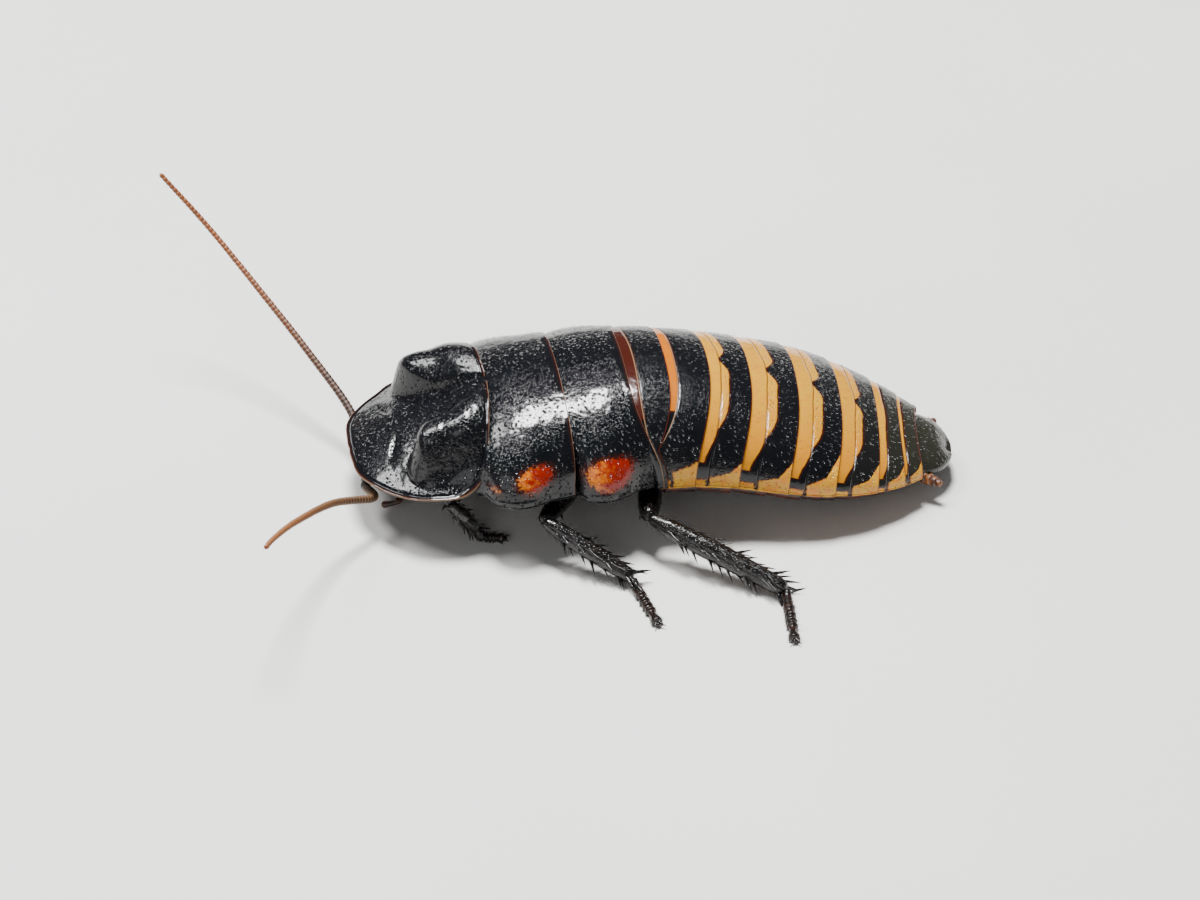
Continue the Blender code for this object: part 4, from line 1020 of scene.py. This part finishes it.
def antenna_finish():
    """Dark brown rings with pale seams near the root that turn to orange-brown further out."""
    finish = Finish("antenna_rings")
    share, ring = finish.mark("share"), finish.mark("ring")
    colour = finish.mix(share.rise(0.16, 0.8), tone(22, 12, 8), tone(122, 64, 24))
    colour = finish.mix(finish.noise(1.5, 3.0).rise(0.35, 0.7) * 0.5, colour, tone(74, 38, 18))
    seam = ring.rise(0.84, 0.97) * share.rise(0.07, 0.09)
    colour = finish.mix(seam * 0.55, colour, tone(196, 150, 96))
    colour = finish.mix(share.rise(0.074, 0.06), colour, tone(22, 14, 12))
    finish.wear(Base_Color=colour, Roughness=finish.noise(3.0, 2.0) * 0.2 + 0.38)
    finish.bump((finish.noise(9.0, 3.0), 0.02))
    return finish


def eye_finish():
    """Dark glossy eyes with fine close facets."""
    finish = Finish("eye_facets")
    facets = finish.cells(13.0, spread=0.25)
    colour = finish.mix(finish.noise(0.9, 2.0).rise(0.35, 0.7), tone(20, 12, 12), tone(44, 26, 22))
    finish.wear(Base_Color=colour, Roughness=finish.noise(4.0, 2.0) * 0.08 + 0.1, Coat_Weight=0.6)
    finish.bump((-facets, 0.03))
    return finish


def head_finish():
    """Dark brown-black head with two pale ocellar spots and a paler strip above the mouth."""
    finish = Finish("head_cuticle")
    share, aside, facing = finish.mark("share"), finish.mark("aside"), finish.mark("facing")
    colour = finish.mix(finish.noise(0.8, 3.0).rise(0.35, 0.7), tone(16, 11, 11), tone(40, 22, 16))
    mouth = share.rise(0.74, 0.84) * facing.rise(0.2, 0.6)
    colour = finish.mix(mouth * 0.7, colour, tone(96, 58, 34))
    ocellus = abs(aside - 1.15).over(abs(share - 0.36) * 5.86).rise(0.32, 0.24) * facing.rise(0.3, 0.6)
    colour = finish.mix(ocellus, colour, tone(188, 156, 110))
    finish.wear(Base_Color=colour, Roughness=finish.noise(2.0, 3.0) * 0.15 + 0.24)
    finish.bump((finish.noise(1.2, 3.0), 0.08), (-finish.cells(4.5).rise(0.5, 0.05), 0.02))
    return finish


# The animal

black, banded = black_finish(), banded_finish()
belly = plain_shell("belly_cuticle", tone(34, 16, 12), tone(84, 40, 24), 0.7, 0.26, 0.02)
leg = plain_shell("leg_cuticle", tone(7, 6, 6), tone(15, 10, 8), 0.8, 0.1, 0.04)
palp = plain_shell("palp_cuticle", tone(26, 14, 9), tone(66, 36, 18), 1.4, 0.3, 0.01)
cercus = plain_shell("cercus_cuticle", tone(60, 30, 16), tone(140, 84, 38), 1.6, 0.36, 0.015)
membrane = plain_shell("soft_skin", tone(120, 92, 66), tone(158, 128, 94), 1.3, 0.5, 0.02)
foot = plain_shell("foot_cuticle", tone(14, 9, 8), tone(38, 20, 13), 1.2, 0.2, 0.012)
feeler, eye, head = antenna_finish(), eye_finish(), head_finish()

make_pronotum(black)
make_belly(belly, make_back(black, banded), banded)
make_thorax_base(belly)
make_membranes(membrane)
chance = random.Random(SEED)
for pair, side in LEGS:
    make_leg(pair, side, chance, leg, foot)
make_head(head, eye, palp)
for side, sign, points in (("left", -1, ANTENNA_LEFT), ("right", 1, ANTENNA_RIGHT)):
    make_antenna(side, points, feeler)
    make_cercus(side, sign, cercus)
make_hairs(plain_shell("bristle", tone(20, 12, 9), tone(46, 26, 16), 0.7, 0.3, 0.005),
           plain_shell("pale_nap", tone(92, 54, 28), tone(150, 98, 56), 0.9, 0.4, 0.005))


# Floor, light and camera

# The photograph's camera: its turns in degrees, its lens, and its place in millimetres, which is told from a
# place on the pronotum by the steps to the right, up and along the view
VIEW_AZIMUTH, VIEW_ELEVATION, VIEW_ROLL, LENS = -12, 36, 3, 135.36
VIEW_AIM, VIEW_STEPS = (14.8, 0, 14.3), (12.23, -7.55, -480)
LIT_PLACE = (32, 0, 8)


def world(place):
    """A place in the body's frame as metres in the scene."""
    return (np.array(place) + SHIFT) * MM


def make_floor():
    """Pale paper under the model."""
    finish = Finish("floor_paper")
    colour = finish.mix(finish.noise(0.01, 3.0).rise(0.3, 0.7), tone(222, 221, 218), tone(230, 229, 226))
    finish.wear(Base_Color=colour, Roughness=finish.noise(0.2, 2.0) * 0.1 + 0.55)
    finish.bump((finish.noise(1.6, 3.0), 0.02))
    mesh = bpy.data.meshes.new("floor")
    mesh.from_pydata([(-1.5, -1.5, 0), (1.5, -1.5, 0), (1.5, 1.5, 0), (-1.5, 1.5, 0)], [], [(0, 1, 2, 3)])
    mesh.materials.append(finish.material)
    in_scene("floor", mesh)


def put(data, right, up, back, place):
    """A light or camera in the scene, with its own axes given."""
    thing = in_scene(data.name, data)
    thing.matrix_world = Matrix([*zip(right, up, back, place), (0, 0, 0, 1)])
    return thing


def make_light(name, direction, distance, size, power):
    """A round soft light that looks at the middle of the body."""
    light = bpy.data.lights.new(name, "AREA")
    light.shape, light.size, light.energy = "DISK", size, power
    back = unit(np.array(direction))
    right = unit(np.cross((0.0, 0.0, 1.0), back))
    put(light, right, np.cross(back, right), back, world(LIT_PLACE) + back * distance)


def make_camera():
    """The photograph's view, from the animal's left and above, with the head at the left."""
    a, e, r = [math.radians(angle) for angle in (VIEW_AZIMUTH, VIEW_ELEVATION, VIEW_ROLL)]
    forward = np.array((-math.sin(a) * math.cos(e), math.cos(a) * math.cos(e), -math.sin(e)))
    level = np.array((math.cos(a), math.sin(a), 0.0))
    rise = np.cross(level, forward)
    right = math.cos(r) * level + math.sin(r) * rise
    up = math.cos(r) * rise - math.sin(r) * level
    place = world(VIEW_AIM) + np.array(VIEW_STEPS) @ (right, up, forward) * MM
    camera = bpy.data.cameras.new("camera")
    camera.sensor_width, camera.lens, camera.clip_start = 36.0, LENS, 0.01
    bpy.context.scene.camera = put(camera, right, up, -forward, place)


make_floor()
make_light("key_light", (-0.08, 0.2, 0.97), 0.6, 0.18, 9.5)
make_light("front_light", (-0.5, 0.2, 0.84), 0.6, 0.2, 2.6)
make_light("fill_light", (-0.5, -0.75, 0.45), 0.9, 0.5, 1.2)
surround = bpy.data.worlds.new("studio")
surround.use_nodes = True
sky = surround.node_tree.nodes["Background"]
sky.inputs["Color"].default_value = (0.8, 0.82, 0.85, 1.0)
sky.inputs["Strength"].default_value = 0.2
bpy.context.scene.world = surround
make_camera()
